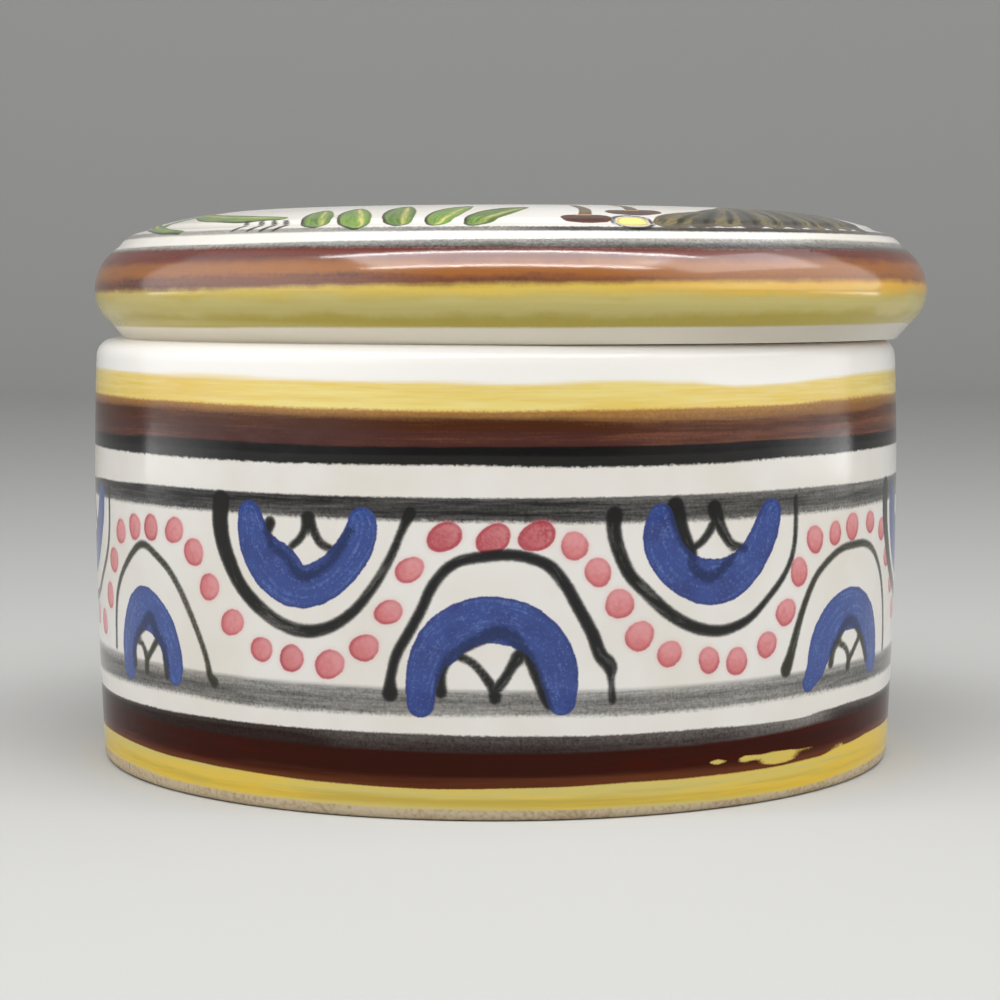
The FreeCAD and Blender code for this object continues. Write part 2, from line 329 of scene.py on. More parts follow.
def lid_section(sizes, grid):
    """Section of the lid, from its hollow out over the flange and seat and up to the top of the dome."""
    edge = (LID_HIGH.x - LID_LOW.x) / 2
    seat = BODY_HIGH.z
    top = LID_HIGH.z
    flange_end = LID_LOW.z
    brushed, banded, plain = grid.brush_rows, grid.band_rows, grid.plain_rows
    inner = sizes.flange_radius - sizes.flange_wall
    roof = top - sizes.roof
    roof_corner = (inner - sizes.roof_round, roof - sizes.roof_round)
    seat_edge = (edge - sizes.seat_inset, seat)
    bevel = (edge - sizes.bevel_inset, seat + sizes.bevel_rise)
    widest = (edge, seat + sizes.widest_rise)
    shoulder = (edge - sizes.shoulder_inset, seat + sizes.shoulder_rise)
    ring = (edge - sizes.ring_inset, seat + sizes.ring_rise)
    dome = (edge - sizes.dome_inset, seat + sizes.dome_rise)
    crown = (sizes.crown_radius, top - sizes.crown_drop)
    summit = (0.0, top)
    flange_round = sizes.flange_round
    rounded = flange_end + flange_round
    outer = sizes.flange_radius
    section = Section()
    section.add("under", straight((0, roof), (roof_corner[0], roof), plain))
    section.add("under", turn_up((roof_corner[0], roof), (inner, roof_corner[1]), banded * 2))
    section.add("under", straight((inner, roof_corner[1]), (inner, rounded), plain))
    section.add("under", turn_over((inner, rounded), (inner + flange_round, flange_end), banded))
    section.add("under", straight((inner + flange_round, flange_end), (outer - flange_round, flange_end),
                                  banded))
    section.add("under", turn_up((outer - flange_round, flange_end), (outer, rounded), banded))
    section.add("under", straight((outer, rounded), (outer, seat), plain))
    section.add("under", straight((outer, seat), (seat_edge[0] - sizes.seat_round, seat), banded * 2))
    section.add("under", straight((seat_edge[0] - sizes.seat_round, seat), seat_edge, banded / 2))
    section.add("edge", straight(seat_edge, bevel, banded))
    lower_bun = centre_at_level(bevel, widest, widest[1])
    upper_bun = centre_at_level(widest, shoulder, widest[1])
    section.add("edge", bend(bevel, widest, lower_bun, banded))
    section.add("edge", bend(widest, shoulder, upper_bun, brushed))
    section.add("top", bend(shoulder, ring, centre_of_radius(shoulder, ring, sizes.ring_round), brushed))
    section.add("top", straight(ring, dome, brushed)[1:])
    crown_centre = centre_on_axis(crown, summit)
    section.add("top", bend(dome, crown, centre_running_on(crown, dome, crown_centre), brushed))
    section.add("top", straight(crown, summit, brushed * 1.5))
    section.close("top", summit)
    points = np.array(section.points)
    on_crown = (points[:, 0] < crown[0]) & (np.array(section.stretches) == "top")
    crown_bend = math.dist(crown_centre, crown)
    rise = crown_centre[1] + crown_bend * np.cos(points[:, 0] / crown_bend)
    points[on_crown, 1] = rise[on_crown]
    section.points = [tuple(point) for point in points]
    return section


# Turned meshes


class Turning:
    """A closed surface of revolution with its points also known by azimuth, height and section run."""

    def __init__(self, name, section, columns, axis_x):
        points, stretches, run = section.arrays()
        self.rings = points[1:-1]
        self.ring_stretch = stretches[1:-1]
        self.columns = columns
        turn = FULL_TURN * (np.arange(columns) / columns - 0.5)
        rows = len(self.rings)
        radius = np.repeat(self.rings[:, 0], columns)
        self.azimuth = np.concatenate([np.tile(turn, rows), [0, 0]])
        self.radius = np.concatenate([radius, [0, 0]])
        ends = [points[0, 1], points[-1, 1]]
        self.height = np.concatenate([np.repeat(self.rings[:, 1], columns), ends])
        self.run = np.concatenate([np.repeat(run[1:-1], columns), [0, run[-1]]])
        self.from_centre = run[-1] - self.run
        self.stretch = np.concatenate([np.repeat(self.ring_stretch, columns), stretches[[0, -1]]])
        self.places = np.stack([axis_x + self.radius * np.sin(self.azimuth),
                                -self.radius * np.cos(self.azimuth), self.height], axis=1)
        self.mesh = bpy.data.meshes.new(name)
        self._make_faces(rows)
        self.piece = bpy.data.objects.new(name, self.mesh)
        bpy.context.scene.collection.objects.link(self.piece)

    def _make_faces(self, rows):
        columns = self.columns
        column = np.arange(columns)
        following = (column + 1) % columns
        row = np.arange(rows - 1)[:, None] * columns
        quads = np.stack([row + column, row + following, row + columns + following,
                          row + columns + column], axis=2).reshape(-1, 4)
        first_pole = rows * columns
        last_row = (rows - 1) * columns
        low_fan = np.stack([np.full(columns, first_pole), following, column], axis=1)
        high_fan = np.stack([np.full(columns, first_pole + 1), last_row + column, last_row + following],
                            axis=1)
        faces = quads.tolist() + low_fan.tolist() + high_fan.tolist()
        self.mesh.from_pydata(self.places.tolist(), [], faces)
        self.mesh.shade_smooth()
        self.mesh.set_sharp_from_angle(angle=SHARP_FROM)
        self.mesh.validate()
        self.face_row = np.concatenate([np.repeat(np.arange(rows - 1), columns), np.full(columns, -1),
                                        np.full(columns, rows - 1)])
        self.face_column = np.concatenate([np.tile(column, rows - 1), column, column])

    def keep(self, name, values):
        """Store one number for each point, for the shaders to read."""
        layer = self.mesh.attributes.new(name, "FLOAT", "POINT")
        layer.data.foreach_set("value", np.asarray(values, dtype=np.float32))

    def dress(self, materials, chooser):
        """Give the piece its materials. The chooser gives a material's number for each section row."""
        for material in materials:
            self.mesh.materials.append(material)
        choice = np.array([chooser(row) for row in range(len(self.rings))])
        chosen = choice[np.maximum(self.face_row, 0)]
        self.mesh.polygons.foreach_set("material_index", chosen.astype(np.int32))

    def lay_flat(self, corners_of):
        """Unwrap the faces. corners_of gives (u, v) arrays for the faces' rows, columns and runs."""
        loops = len(self.mesh.loops)
        vertex = np.zeros(loops, dtype=np.int32)
        self.mesh.loops.foreach_get("vertex_index", vertex)
        totals = np.zeros(len(self.mesh.polygons), dtype=np.int32)
        self.mesh.polygons.foreach_get("loop_total", totals)
        face_column = np.repeat(self.face_column, totals)
        face_row = np.repeat(self.face_row, totals)
        rows = len(self.rings)
        column = vertex % self.columns
        wrapped = (column == 0) & (face_column == self.columns - 1)
        column = np.where(wrapped, self.columns, column)
        pole = vertex >= rows * self.columns
        column = np.where(pole, face_column, column)
        last_pole = vertex == rows * self.columns + 1
        run = np.where(pole, np.where(last_pole, self.run[-1], 0.0), self.run[vertex])
        u, v = corners_of(face_row, face_column, column, run)
        layer = self.mesh.uv_layers.new(name="OFBake")
        layer.data.foreach_set("uv", np.stack([u, v], axis=1).astype(np.float32).ravel())


class FlatSheet:
    """Places of a turned piece's faces on the flat sheet that its finish can be baked to."""

    MARGIN = 0.004
    STRIP = 0.992

    def __init__(self, turning):
        self.turning = turning
        self.rings = turning.ring_stretch
        self.runs = turning.run[:len(self.rings) * turning.columns:turning.columns]
        self.end = turning.run[-1]

    def starts(self, stretch):
        """Section run at which a stretch starts."""
        return self.runs[self.rings == stretch].min()

    def disc(self, centre, size, share, column):
        """Round patch about a centre."""
        angle = FULL_TURN * column / self.turning.columns
        return centre[0] + size * share * np.sin(angle), centre[1] - size * share * np.cos(angle)

    def strip(self, low, tall, column):
        """Strip that holds the whole turn, with v from low."""
        return self.MARGIN + self.STRIP * column / self.turning.columns, low + tall

    def halves(self, front_low, back_low, tall, face_column, column):
        """Two strips over each other, one for the front half of the turn and one for the back."""
        columns = self.turning.columns
        quarter = columns / 4
        front = (face_column >= quarter) & (face_column < 3 * quarter)
        back_column = np.where(face_column < quarter, column, column - columns)
        along = np.where(front, column - quarter, back_column + quarter) / (2 * quarter)
        return self.MARGIN + self.STRIP * along, np.where(front, front_low, back_low) + tall

    def lay(self, patches):
        """Unwrap the piece. patches gives each stretch's places for columns and runs."""

        def corners(face_row, face_column, column, run):
            stretch = np.where(face_row < 0, "under", self.rings[np.maximum(face_row, 0)])
            placed = patches(face_column, column, run)
            masks = [stretch == name for name in placed]
            return [np.select(masks, [place[axis] for place in placed.values()]) for axis in (0, 1)]

        self.turning.lay_flat(corners)


def body_layout(turning):
    """Flat layout of the body: the wall in two strips, the inside in one, floor and foot as discs."""
    sheet = FlatSheet(turning)
    wall_start, bore_start = sheet.starts("wall"), sheet.starts("bore")
    floor_reach, floor_patch, foot_patch, disc_size = 0.0409, 0.0412, 0.0492, 0.082
    wall_tall, bore_tall = 0.334, 0.14

    def patches(face_column, column, run):
        up = wall_tall * (run - wall_start) / (bore_start - wall_start)
        inside = bore_tall * (run - bore_start) / (sheet.end - floor_reach - bore_start)
        return {
            "wall": sheet.halves(0.662, 0.324, up, face_column, column),
            "bore": sheet.strip(0.318, -inside, column),
            "floor": sheet.disc((0.09, 0.086), disc_size, (sheet.end - run) / floor_patch, column),
            "under": sheet.disc((0.28, 0.086), disc_size, run / foot_patch, column),
        }

    sheet.lay(patches)


def lid_layout(turning):
    """Flat layout of the lid: the edge in two strips, the top and the underside as discs."""
    sheet = FlatSheet(turning)
    edge_start, top_start = sheet.starts("edge"), sheet.starts("top")
    edge_tall, top_size, under_size = 0.088, 0.3, 0.185

    def patches(face_column, column, run):
        up = edge_tall * (run - edge_start) / (top_start - edge_start)
        from_summit = (sheet.end - run) / (sheet.end - top_start)
        return {
            "edge": sheet.halves(0.1, 0.004, up, face_column, column),
            "top": sheet.disc((0.305, 0.5), top_size, from_summit, column),
            "under": sheet.disc((0.81, 0.4), under_size, run / edge_start, column),
        }

    sheet.lay(patches)


# Brush strokes


def smooth_stroke(points, step=0.35):
    """Round a stroke's points into a fine line. Each point is two places and a width."""
    points = np.asarray(points, dtype=float)
    padded = np.vstack([2 * points[0] - points[1], points, 2 * points[-1] - points[-2]])
    fine = []
    for before, start, end, after in zip(padded, padded[1:], padded[2:], padded[3:]):
        steps = max(2, round(math.dist(start[:2], end[:2]) / step))
        share = np.linspace(0, 1, steps, endpoint=False)[:, None]
        fine.append(0.5 * (2 * start + (end - before) * share
                           + (2 * before - 5 * start + 4 * end - after) * share ** 2
                           + (3 * start - before - 3 * end + after) * share ** 3))
    fine.append(points[-1:])
    line = np.vstack(fine)
    line[:, 2] = np.maximum(line[:, 2], 0.2)
    return line


class PaintLayer:
    """Brush strokes of one colour on a flat sheet of points, in millimetres.

    For each point it knows the distance beyond the nearest stroke's edge, the side from -1 to 1 across
    that stroke, the run along it and the stroke's tone.
    """

    REACH = 1.6
    RUN_APART = 40.0

    def __init__(self, across, up, wrap=None):
        self.across = across
        self.up = up
        self.wrap = wrap
        self.edge = np.full(len(across), FAR)
        self.side = np.full(len(across), FAR)
        self.run = np.zeros(len(across))
        self.tone = np.zeros(len(across))
        self.strokes = 0

    def brush(self, points, tone=0.0):
        """Paint one stroke through points of (across, up, width)."""
        line = smooth_stroke(points)
        reach = line[:, 2].max() / 2 + self.REACH
        low, high = line.min(axis=0) - reach, line.max(axis=0) + reach
        across = self.across
        if self.wrap:
            middle = (line[:, 0].min() + line[:, 0].max()) / 2
            across = (across - middle + self.wrap / 2) % self.wrap - self.wrap / 2 + middle
        near = np.flatnonzero((across > low[0]) & (across < high[0])
                              & (self.up > low[1]) & (self.up < high[1]))
        if not len(near):
            return
        place = np.stack([across[near], self.up[near]], axis=1)[:, None, :]
        start, end = line[:-1], line[1:]
        leg = end[:, :2] - start[:, :2]
        offset = place - start[:, :2]
        share = np.clip((offset * leg).sum(2) / np.maximum((leg ** 2).sum(1), 1e-9), 0, 1)
        gap = offset - share[..., None] * leg
        distance = np.hypot(gap[..., 0], gap[..., 1])
        half = (start[:, 2] * (1 - share) + end[:, 2] * share) / 2
        nearest = (distance - half).argmin(axis=1)
        pick = (np.arange(len(near)), nearest)
        cross = leg[nearest, 0] * offset[pick][:, 1] - leg[nearest, 1] * offset[pick][:, 0]
        lengths = np.hypot(leg[:, 0], leg[:, 1])
        run = np.concatenate([[0], np.cumsum(lengths)])[nearest] + share[pick] * lengths[nearest]
        edge = (distance - half)[pick]
        better = edge < self.edge[near]
        chosen = near[better]
        self.edge[chosen] = edge[better]
        self.side[chosen] = (np.sign(cross) * distance[pick] / half[pick])[better]
        self.run[chosen] = (run + self.RUN_APART * self.strokes)[better]
        self.tone[chosen] = tone
        self.strokes += 1

    def store(self, turning, name):
        """Keep the layer on the turned piece."""
        turning.keep(f"{name}_edge", self.edge)
        turning.keep(f"{name}_side", np.clip(self.side, -FAR, FAR))
        turning.keep(f"{name}_run", self.run)
        turning.keep(f"{name}_tone", self.tone)


# The wall's painting. Strokes are lists of (azimuth, height, width).

FIGURES_FROM = 11.0
FIGURES_TO = 35.6

CENTRE_ARCH = {
    "outline": [(-13.2, 13.9, 1.9), (-13.05, 15.8, 1.25), (-12.3, 18.2, 1.3), (-10.8, 20.5, 1.3),
                (-9.2, 23.0, 1.3), (-8.0, 25.3, 1.3), (-6.5, 27.1, 1.3), (-4.4, 28.4, 1.3),
                (-1.4, 28.9, 1.35), (2.1, 29.1, 1.35), (4.9, 28.6, 1.35), (6.9, 27.7, 1.5),
                (8.7, 25.8, 1.5), (10.4, 23.2, 1.5), (12.1, 20.5, 1.6), (13.2, 18.1, 1.7),
                (14.4, 16.9, 1.8), (14.6, 15.4, 0.9), (14.8, 13.1, 1.0)],
    "cobalt": [(-9.3, 12.9, 3.1), (-9.2, 15.0, 3.5), (-8.5, 17.5, 4.1), (-6.95, 19.9, 4.4),
               (-4.4, 21.5, 4.7), (-1.6, 22.1, 5.0), (0.7, 22.0, 5.1), (3.35, 21.4, 5.0),
               (5.8, 19.9, 4.7), (7.2, 18.2, 4.5), (7.95, 16.2, 4.3), (8.2, 14.3, 3.6), (8.3, 13.2, 3.1)],
    "inner": [(-6.75, 14.2, 1.5), (-6.7, 16.0, 1.2), (-5.9, 17.7, 1.2), (-3.95, 19.0, 1.3),
              (-1.66, 20.1, 1.5), (0.5, 20.7, 1.7), (2.35, 20.1, 1.6), (4.0, 18.2, 1.4),
              (5.1, 16.0, 1.3), (6.1, 14.0, 1.4), (6.7, 12.8, 1.2)],
    "cobalt_fill": [(-5.9, 17.9, 1.6), (-4.6, 19.3, 2.0), (-2.6, 20.3, 2.2), (0.0, 20.9, 2.2)],
    "left_leg": [(-4.9, 18.2, 0.9), (-2.9, 17.5, 1.0), (-1.3, 16.0, 1.1), (-0.2, 14.5, 1.3),
                 (0.0, 13.6, 1.5)],
    "right_leg": [(2.9, 18.1, 1.7), (1.9, 16.75, 1.25), (0.95, 15.4, 1.3), (0.1, 14.5, 1.2)],
}
LEFT_ARCH = {
    "outline": [(-64.5, 15.2, 0.8), (-64.2, 18.5, 0.85), (-63.4, 21.5, 0.9), (-61.9, 23.6, 0.95),
                (-60.2, 25.1, 0.95), (-57.6, 26.9, 1.0), (-55.1, 28.1, 1.05), (-53.3, 28.1, 1.0),
                (-51.1, 27.3, 1.0), (-48.2, 25.9, 1.0), (-45.6, 23.7, 1.0), (-43.3, 20.8, 1.0),
                (-41.6, 18.2, 0.95), (-40.5, 16.0, 0.95), (-40.0, 14.3, 1.1), (-39.2, 13.6, 1.4)],
    "cobalt": [(-59.4, 13.6, 3.4), (-59.4, 16.0, 3.8), (-58.2, 18.4, 4.3), (-56.5, 20.2, 4.7),
               (-54.2, 20.8, 5.2), (-51.6, 20.2, 4.8), (-49.3, 18.75, 4.3), (-47.9, 16.8, 3.8),
               (-47.2, 14.9, 3.3), (-47.2, 13.9, 2.9)],
    "inner": [(-57.6, 13.9, 1.2), (-57.6, 16.0, 1.2), (-56.5, 17.5, 1.2), (-54.8, 18.7, 1.5),
              (-52.8, 19.8, 1.7), (-51.3, 18.25, 1.4), (-49.6, 16.75, 1.3), (-49.05, 14.75, 1.3),
              (-48.9, 13.5, 1.2)],
    "left_leg": [(-56.8, 16.9, 0.9), (-55.1, 16.5, 0.9), (-54.2, 15.2, 1.0), (-54.1, 13.6, 1.2)],
    "right_leg": [(-51.3, 17.2, 1.1), (-53.1, 15.6, 0.9), (-53.9, 14.75, 0.9)],
}
RIGHT_ARCH = {
    "outline": [(41.0, 14.9, 1.9), (41.9, 16.75, 1.5), (43.15, 19.75, 1.2), (44.6, 22.5, 1.1),
                (46.6, 25.0, 1.0), (49.5, 26.75, 0.95), (52.6, 27.8, 0.95), (56.0, 28.05, 1.0),
                (59.5, 27.95, 1.0), (62.35, 27.1, 0.95), (64.4, 25.75, 0.9), (66.4, 23.7, 0.9),
                (67.8, 21.0, 0.85), (68.7, 17.5, 0.85), (68.9, 14.6, 0.9)],
    "cobalt": [(45.6, 13.0, 2.2), (47.1, 14.6, 3.4), (48.2, 16.8, 4.6), (49.6, 18.7, 4.8),
               (52.0, 20.2, 4.8), (55.5, 20.7, 5.0), (58.6, 20.2, 4.7), (61.1, 18.7, 4.4),
               (62.5, 16.5, 4.0), (63.1, 14.0, 3.5)],
    "inner": [(50.6, 14.7, 1.3), (51.0, 16.0, 1.2), (52.3, 17.5, 1.2), (53.75, 18.75, 1.3),
              (55.5, 19.2, 1.5), (57.2, 18.7, 1.4), (58.6, 17.5, 1.2), (60.0, 16.0, 1.2),
              (61.2, 14.2, 1.2)],
    "left_leg": [(52.6, 16.9, 0.9), (54.3, 16.2, 0.9), (55.3, 15.0, 1.0), (55.2, 13.9, 1.2)],
    "right_leg": [(58.2, 16.9, 0.9), (56.8, 15.75, 0.9), (55.6, 14.75, 0.9)],
}
LEFT_FESTOON = {
    "outline": [(-37.4, 34.0, 2.6), (-37.6, 31.7, 2.5), (-37.0, 29.2, 2.3), (-35.7, 26.8, 2.1),
                (-34.2, 24.8, 1.9), (-31.7, 22.8, 1.8), (-28.2, 21.0, 1.65), (-24.5, 20.3, 1.6),
                (-21.1, 20.9, 1.45), (-17.9, 22.7, 1.3), (-15.2, 25.5, 1.2), (-13.0, 28.7, 1.1),
                (-11.6, 31.5, 1.0), (-10.5, 33.5, 1.5)],
    "cobalt": [(-32.7, 32.8, 3.2), (-32.2, 30.75, 4.2), (-31.2, 28.5, 4.5), (-29.4, 26.6, 4.7),
               (-27.1, 25.4, 4.7), (-24.8, 25.1, 4.7), (-22.5, 25.7, 4.6), (-20.2, 27.0, 4.4),
               (-18.3, 28.8, 4.2), (-17.0, 30.8, 3.9), (-16.6, 32.4, 3.3)],
    "cobalt_fill": [(-30.6, 30.6, 1.6), (-29.3, 29.2, 2.6), (-27.6, 28.2, 3.0), (-26.2, 27.0, 2.8)],
    "inner": [(-29.5, 32.0, 1.6), (-29.9, 30.8, 1.2), (-29.2, 29.6, 1.1), (-27.7, 28.7, 1.1),
              (-26.5, 27.7, 1.2), (-25.9, 26.9, 1.3), (-24.5, 26.4, 1.4), (-22.8, 26.8, 1.3),
              (-21.0, 28.0, 1.1), (-19.4, 29.8, 1.1), (-18.3, 31.5, 1.0)],
    "left_leg": [(-24.1, 32.7, 1.6), (-24.4, 31.5, 1.1), (-25.1, 30.4, 1.0), (-26.4, 29.5, 0.9)],
    "right_leg": [(-23.8, 32.7, 1.6), (-23.2, 31.4, 1.2), (-22.2, 30.0, 1.1), (-20.8, 29.4, 1.0)],
}
RIGHT_FESTOON = {
    "outline": [(14.9, 33.3, 1.9), (14.8, 31.7, 1.8), (15.4, 29.5, 1.7), (16.9, 26.75, 1.6),
                (19.2, 24.7, 1.6), (22.0, 22.5, 1.55), (25.2, 20.9, 1.5), (28.3, 20.15, 1.4),
                (31.2, 20.2, 1.3), (34.4, 21.2, 1.1), (37.2, 23.1, 0.95), (39.8, 25.2, 0.9),
                (41.4, 27.2, 0.85), (42.1, 29.2, 0.8), (42.3, 31.7, 0.8), (42.2, 34.2, 0.8)],
    "cobalt": [(21.0, 32.9, 3.0), (21.0, 31.0, 4.2), (21.75, 29.0, 4.6), (23.5, 27.2, 4.7),
               (25.8, 26.0, 4.9), (28.3, 25.5, 5.1), (30.9, 25.75, 4.9), (33.5, 27.0, 4.4),
               (35.4, 28.8, 4.1), (36.8, 30.8, 3.9), (37.7, 32.8, 3.1)],
    "inner": [(23.0, 34.0, 2.2), (23.6, 32.2, 2.0), (24.3, 30.5, 1.8), (25.3, 29.0, 1.5),
              (25.6, 27.4, 1.3), (26.9, 26.3, 1.3), (28.6, 26.1, 1.3), (30.1, 27.1, 1.2),
              (31.35, 28.0, 1.2)],
    "left_leg": [(28.5, 32.0, 1.2), (27.6, 30.75, 1.1), (26.6, 29.9, 1.0), (25.6, 29.4, 0.9)],
    "right_leg": [(28.6, 33.6, 2.0), (29.2, 32.2, 1.7), (30.1, 30.75, 1.4), (31.35, 29.5, 1.2),
                  (33.5, 29.0, 1.0)],
}
MIDDLES = {"centre_arch": 0.0, "left_arch": -53.5, "right_arch": 55.5, "left_festoon": -24.3,
           "right_festoon": 28.6}
FIGURES = {"centre_arch": CENTRE_ARCH, "left_arch": LEFT_ARCH, "right_arch": RIGHT_ARCH,
           "left_festoon": LEFT_FESTOON, "right_festoon": RIGHT_FESTOON}

# Figures round the wall: which one, where its middle is and how olive its black is.
WALL_FIGURES = [
    ("centre_arch", 0.0, 0.0), ("left_festoon", -24.3, 0.1), ("right_festoon", 28.6, 0.05),
    ("left_arch", -53.5, 0.9), ("right_arch", 55.5, 0.85), ("right_festoon", -80.0, 0.7),
    ("left_festoon", 81.5, 0.6), ("centre_arch", 106.5, 0.3), ("right_festoon", 131.5, 0.1),
    ("left_arch", 156.5, 0.2), ("left_festoon", 181.5, 0.0), ("right_arch", 206.0, 0.1),
    ("right_festoon", 231.0, 0.3), ("centre_arch", 255.5, 0.5),
]

# Dots on the seen side: azimuth, height, width, height of the dot, how red and which way it thins.
SEEN_DOTS = [
    (-76.5, 18.2, 3.0, 3.2, 0.25, -1), (-70.8, 17.6, 3.0, 3.2, 0.25, -1),
    (-66.8, 21.2, 3.0, 3.2, 0.3, -1), (-64.5, 25.6, 3.2, 3.0, 0.3, -1),
    (-61.4, 29.2, 3.1, 3.1, 0.3, -1), (-56.6, 30.1, 3.2, 3.1, 0.3, -1),
    (-52.1, 30.3, 3.2, 3.1, 0.55, -1), (-46.6, 30.3, 3.5, 3.1, 0.3, -1),
    (-42.6, 28.1, 3.3, 3.2, 0.35, -1), (-39.7, 24.3, 3.2, 3.1, 0.3, -1),
    (-35.8, 20.6, 3.5, 3.0, 0.3, -1), (-31.1, 17.9, 3.1, 2.8, 0.45, -1),
    (-26.6, 17.2, 3.3, 3.0, 0.55, -1), (-21.2, 16.8, 3.7, 3.2, 0.45, -1),
    (-16.5, 18.8, 3.6, 2.9, 0.5, -1), (-13.3, 22.8, 3.3, 2.7, 0.45, -1),
    (-10.6, 27.4, 3.4, 2.7, 0.4, -1), (-6.2, 31.0, 4.0, 3.2, 0.8, -1),
    (-0.2, 30.8, 4.1, 3.1, 0.82, -1), (5.2, 31.1, 4.2, 3.2, 1.35, -1), (9.8, 30.0, 3.1, 3.2, 0.15, 1),
    (12.8, 27.1, 3.0, 3.3, 0.2, 1), (15.6, 23.6, 3.3, 3.4, 0.2, 1), (18.3, 20.0, 3.5, 3.3, 0.25, 1),
    (22.4, 17.9, 3.1, 3.0, 0.2, 1), (28.1, 16.9, 2.8, 3.1, 0.3, 1), (32.4, 16.5, 3.1, 3.1, 0.3, 1),
    (37.4, 18.0, 3.0, 3.1, 0.3, 1), (40.7, 21.4, 3.3, 3.1, 0.25, 1), (43.1, 25.8, 3.0, 3.3, 0.3, 1),
    (46.3, 29.3, 3.1, 3.3, 0.4, 1), (50.9, 29.7, 2.7, 2.8, 0.4, 1), (55.5, 30.2, 3.2, 3.3, 0.35, 1),
    (61.4, 30.3, 2.9, 2.7, 0.35, 1), (66.5, 29.2, 3.0, 2.8, 0.3, 1), (69.6, 25.8, 3.0, 2.9, 0.3, 1),
    (73.3, 22.3, 3.0, 2.9, 0.3, 1), (76.0, 18.8, 3.0, 2.9, 0.3, 1),
]
# The other dots: how many, from and to which azimuth, and the wave's middle, swing, turns and start.
UNSEEN_DOTS = 49
UNSEEN_FROM, UNSEEN_TO = 81, 278
DOT_WAVE = (23.9, 6.9, 7, 106.5)
DOT_TILT = {-1: 28, 1: 8}

# Slips of yellow left by the brush over the lower brown, as (azimuth, height, width).
LEMON_SLIPS = [
    [(28.7, 5.3, 0.4), (29.8, 5.35, 0.65), (31.2, 5.3, 0.3)],
    [(32.9, 5.1, 0.5), (34.2, 5.25, 0.9), (35.6, 5.3, 0.7), (37.0, 5.1, 1.0), (39.2, 5.0, 1.4),
     (41.8, 5.0, 1.3), (44.0, 5.05, 0.8)],
    [(43.5, 5.1, 0.7), (46.5, 5.15, 0.6), (50.0, 4.9, 0.5), (54.5, 4.8, 0.9)],
]

# Heights of the painted bands' edges. Each has its usual height and where the brush strayed from it.
BAND_EDGES = [
    (0.0, {}),
    (1.35, {-60: 1.65, -40: 1.5, -20: 1.35, 5: 1.3, 28: 0.9, 45: 1.0, 60: 1.35, 120: 1.5, 180: 1.3,
            240: 1.45}),
    (4.0, {-65: 4.5, -48: 4.15, -36: 4.0, -22: 3.7, -8: 3.6, 5: 3.75, 20: 4.0, 38: 4.0, 48: 4.15, 55: 4.8,
           63: 5.2, 75: 5.1, 100: 4.3, 150: 3.9, 200: 4.1, 250: 3.8}),
    (7.8, {-65: 8.1, -40: 7.9, 0: 7.6, 25: 7.6, 50: 8.2, 75: 8.2, 130: 7.7, 190: 7.9, 250: 7.7}),
    (9.5, {-65: 9.3, -50: 9.4, -38: 9.57, -10: 9.67, 2: 9.45, 14: 9.3, 26: 9.35, 36: 9.15, 43: 9.0,
           50: 9.35, 57: 9.55, 66: 9.4, 110: 9.6, 170: 9.4, 230: 9.6}),
    (11.55, {-75: 11.4, -46: 11.75, -34: 11.5, -10: 11.6, 2: 11.7, 20: 11.45, 45: 11.7, 62: 11.6,
             120: 11.5, 180: 11.7, 240: 11.5}),
    (14.4, {-75: 14.7, -50: 14.65, -25: 14.6, 0: 14.4, 20: 14.25, 45: 14.35, 62: 14.3, 120: 14.5,
            180: 14.3, 240: 14.5}),
    (32.65, {-75: 32.7, -50: 32.85, -37: 32.9, -22: 32.75, 0: 32.6, 15: 32.35, 30: 32.25, 46: 32.35,
             62: 32.4, 120: 32.7, 180: 32.5, 240: 32.7}),
    (35.25, {-80: 34.6, -68: 34.95, -50: 35.25, 0: 35.2, 45: 35.25, 62: 35.15, 100: 35.3, 180: 35.2,
             240: 35.2}),
    (38.6, {-60: 38.7, -25: 38.6, -5: 38.7, 12: 38.4, 26: 38.45, 45: 38.8, 60: 38.95, 110: 38.6,
            180: 38.7, 240: 38.5}),
    (40.65, {-65: 40.3, -50: 40.8, -36: 40.7, -22: 40.6, 0: 40.65, 25: 40.7, 38: 41.0, 50: 40.7, 70: 40.7,
             130: 40.6, 190: 40.8, 240: 40.6}),
    (43.65, {-60: 44.2, -46: 44.3, -34: 44.1, -22: 43.9, -8: 43.65, 6: 43.5, 18: 43.1, 32: 43.1,
             49: 43.5, 65: 43.8, 130: 43.6, 190: 43.8, 240: 43.6}),
    (44.6, {-70: 44.95, -50: 44.7, -36: 44.6, -22: 44.5, 0: 44.4, 12: 44.55, 26: 44.7, 40: 44.8, 50: 45.1,
            62: 45.2, 76: 45.0, 130: 44.5, 190: 44.7, 240: 44.6}),
    (47.7, {-70: 48.0, -50: 48.0, -25: 47.85, -10: 47.65, 3: 47.4, 14: 47.6, 25: 47.4, 32: 46.8,
            40: 46.85, 50: 47.4, 60: 47.7, 76: 47.85, 130: 47.6, 190: 47.8, 240: 47.6}),
    (51.5, {}),
]

# How much black the two grey lines carry, as (share of the line from its top, load). The upper one is
# full at the front and thin on the right.
UPPER_LINE_FULL = [(0.0, 0.9), (0.12, 0.96), (0.5, 0.965), (0.72, 0.94), (0.86, 0.9), (1.0, 0.8)]
UPPER_LINE_THIN = [(0.0, 0.8), (0.2, 0.84), (0.42, 0.95), (0.62, 0.86), (0.8, 0.84), (1.0, 0.74)]
LOWER_LINE = [(0.0, 0.48), (0.2, 0.6), (0.34, 0.72), (0.45, 0.84), (0.56, 0.76), (0.8, 0.73), (1.0, 0.66)]
# How much more of it the lower one carries, by azimuth.
LOWER_LINE_MORE = {-70: 0.1, -46: 0.08, -15: 0.0, 8: 0.0, 22: -0.03, 49: 0.05, 66: 0.11, 110: 0.0,
                   240: 0.03}
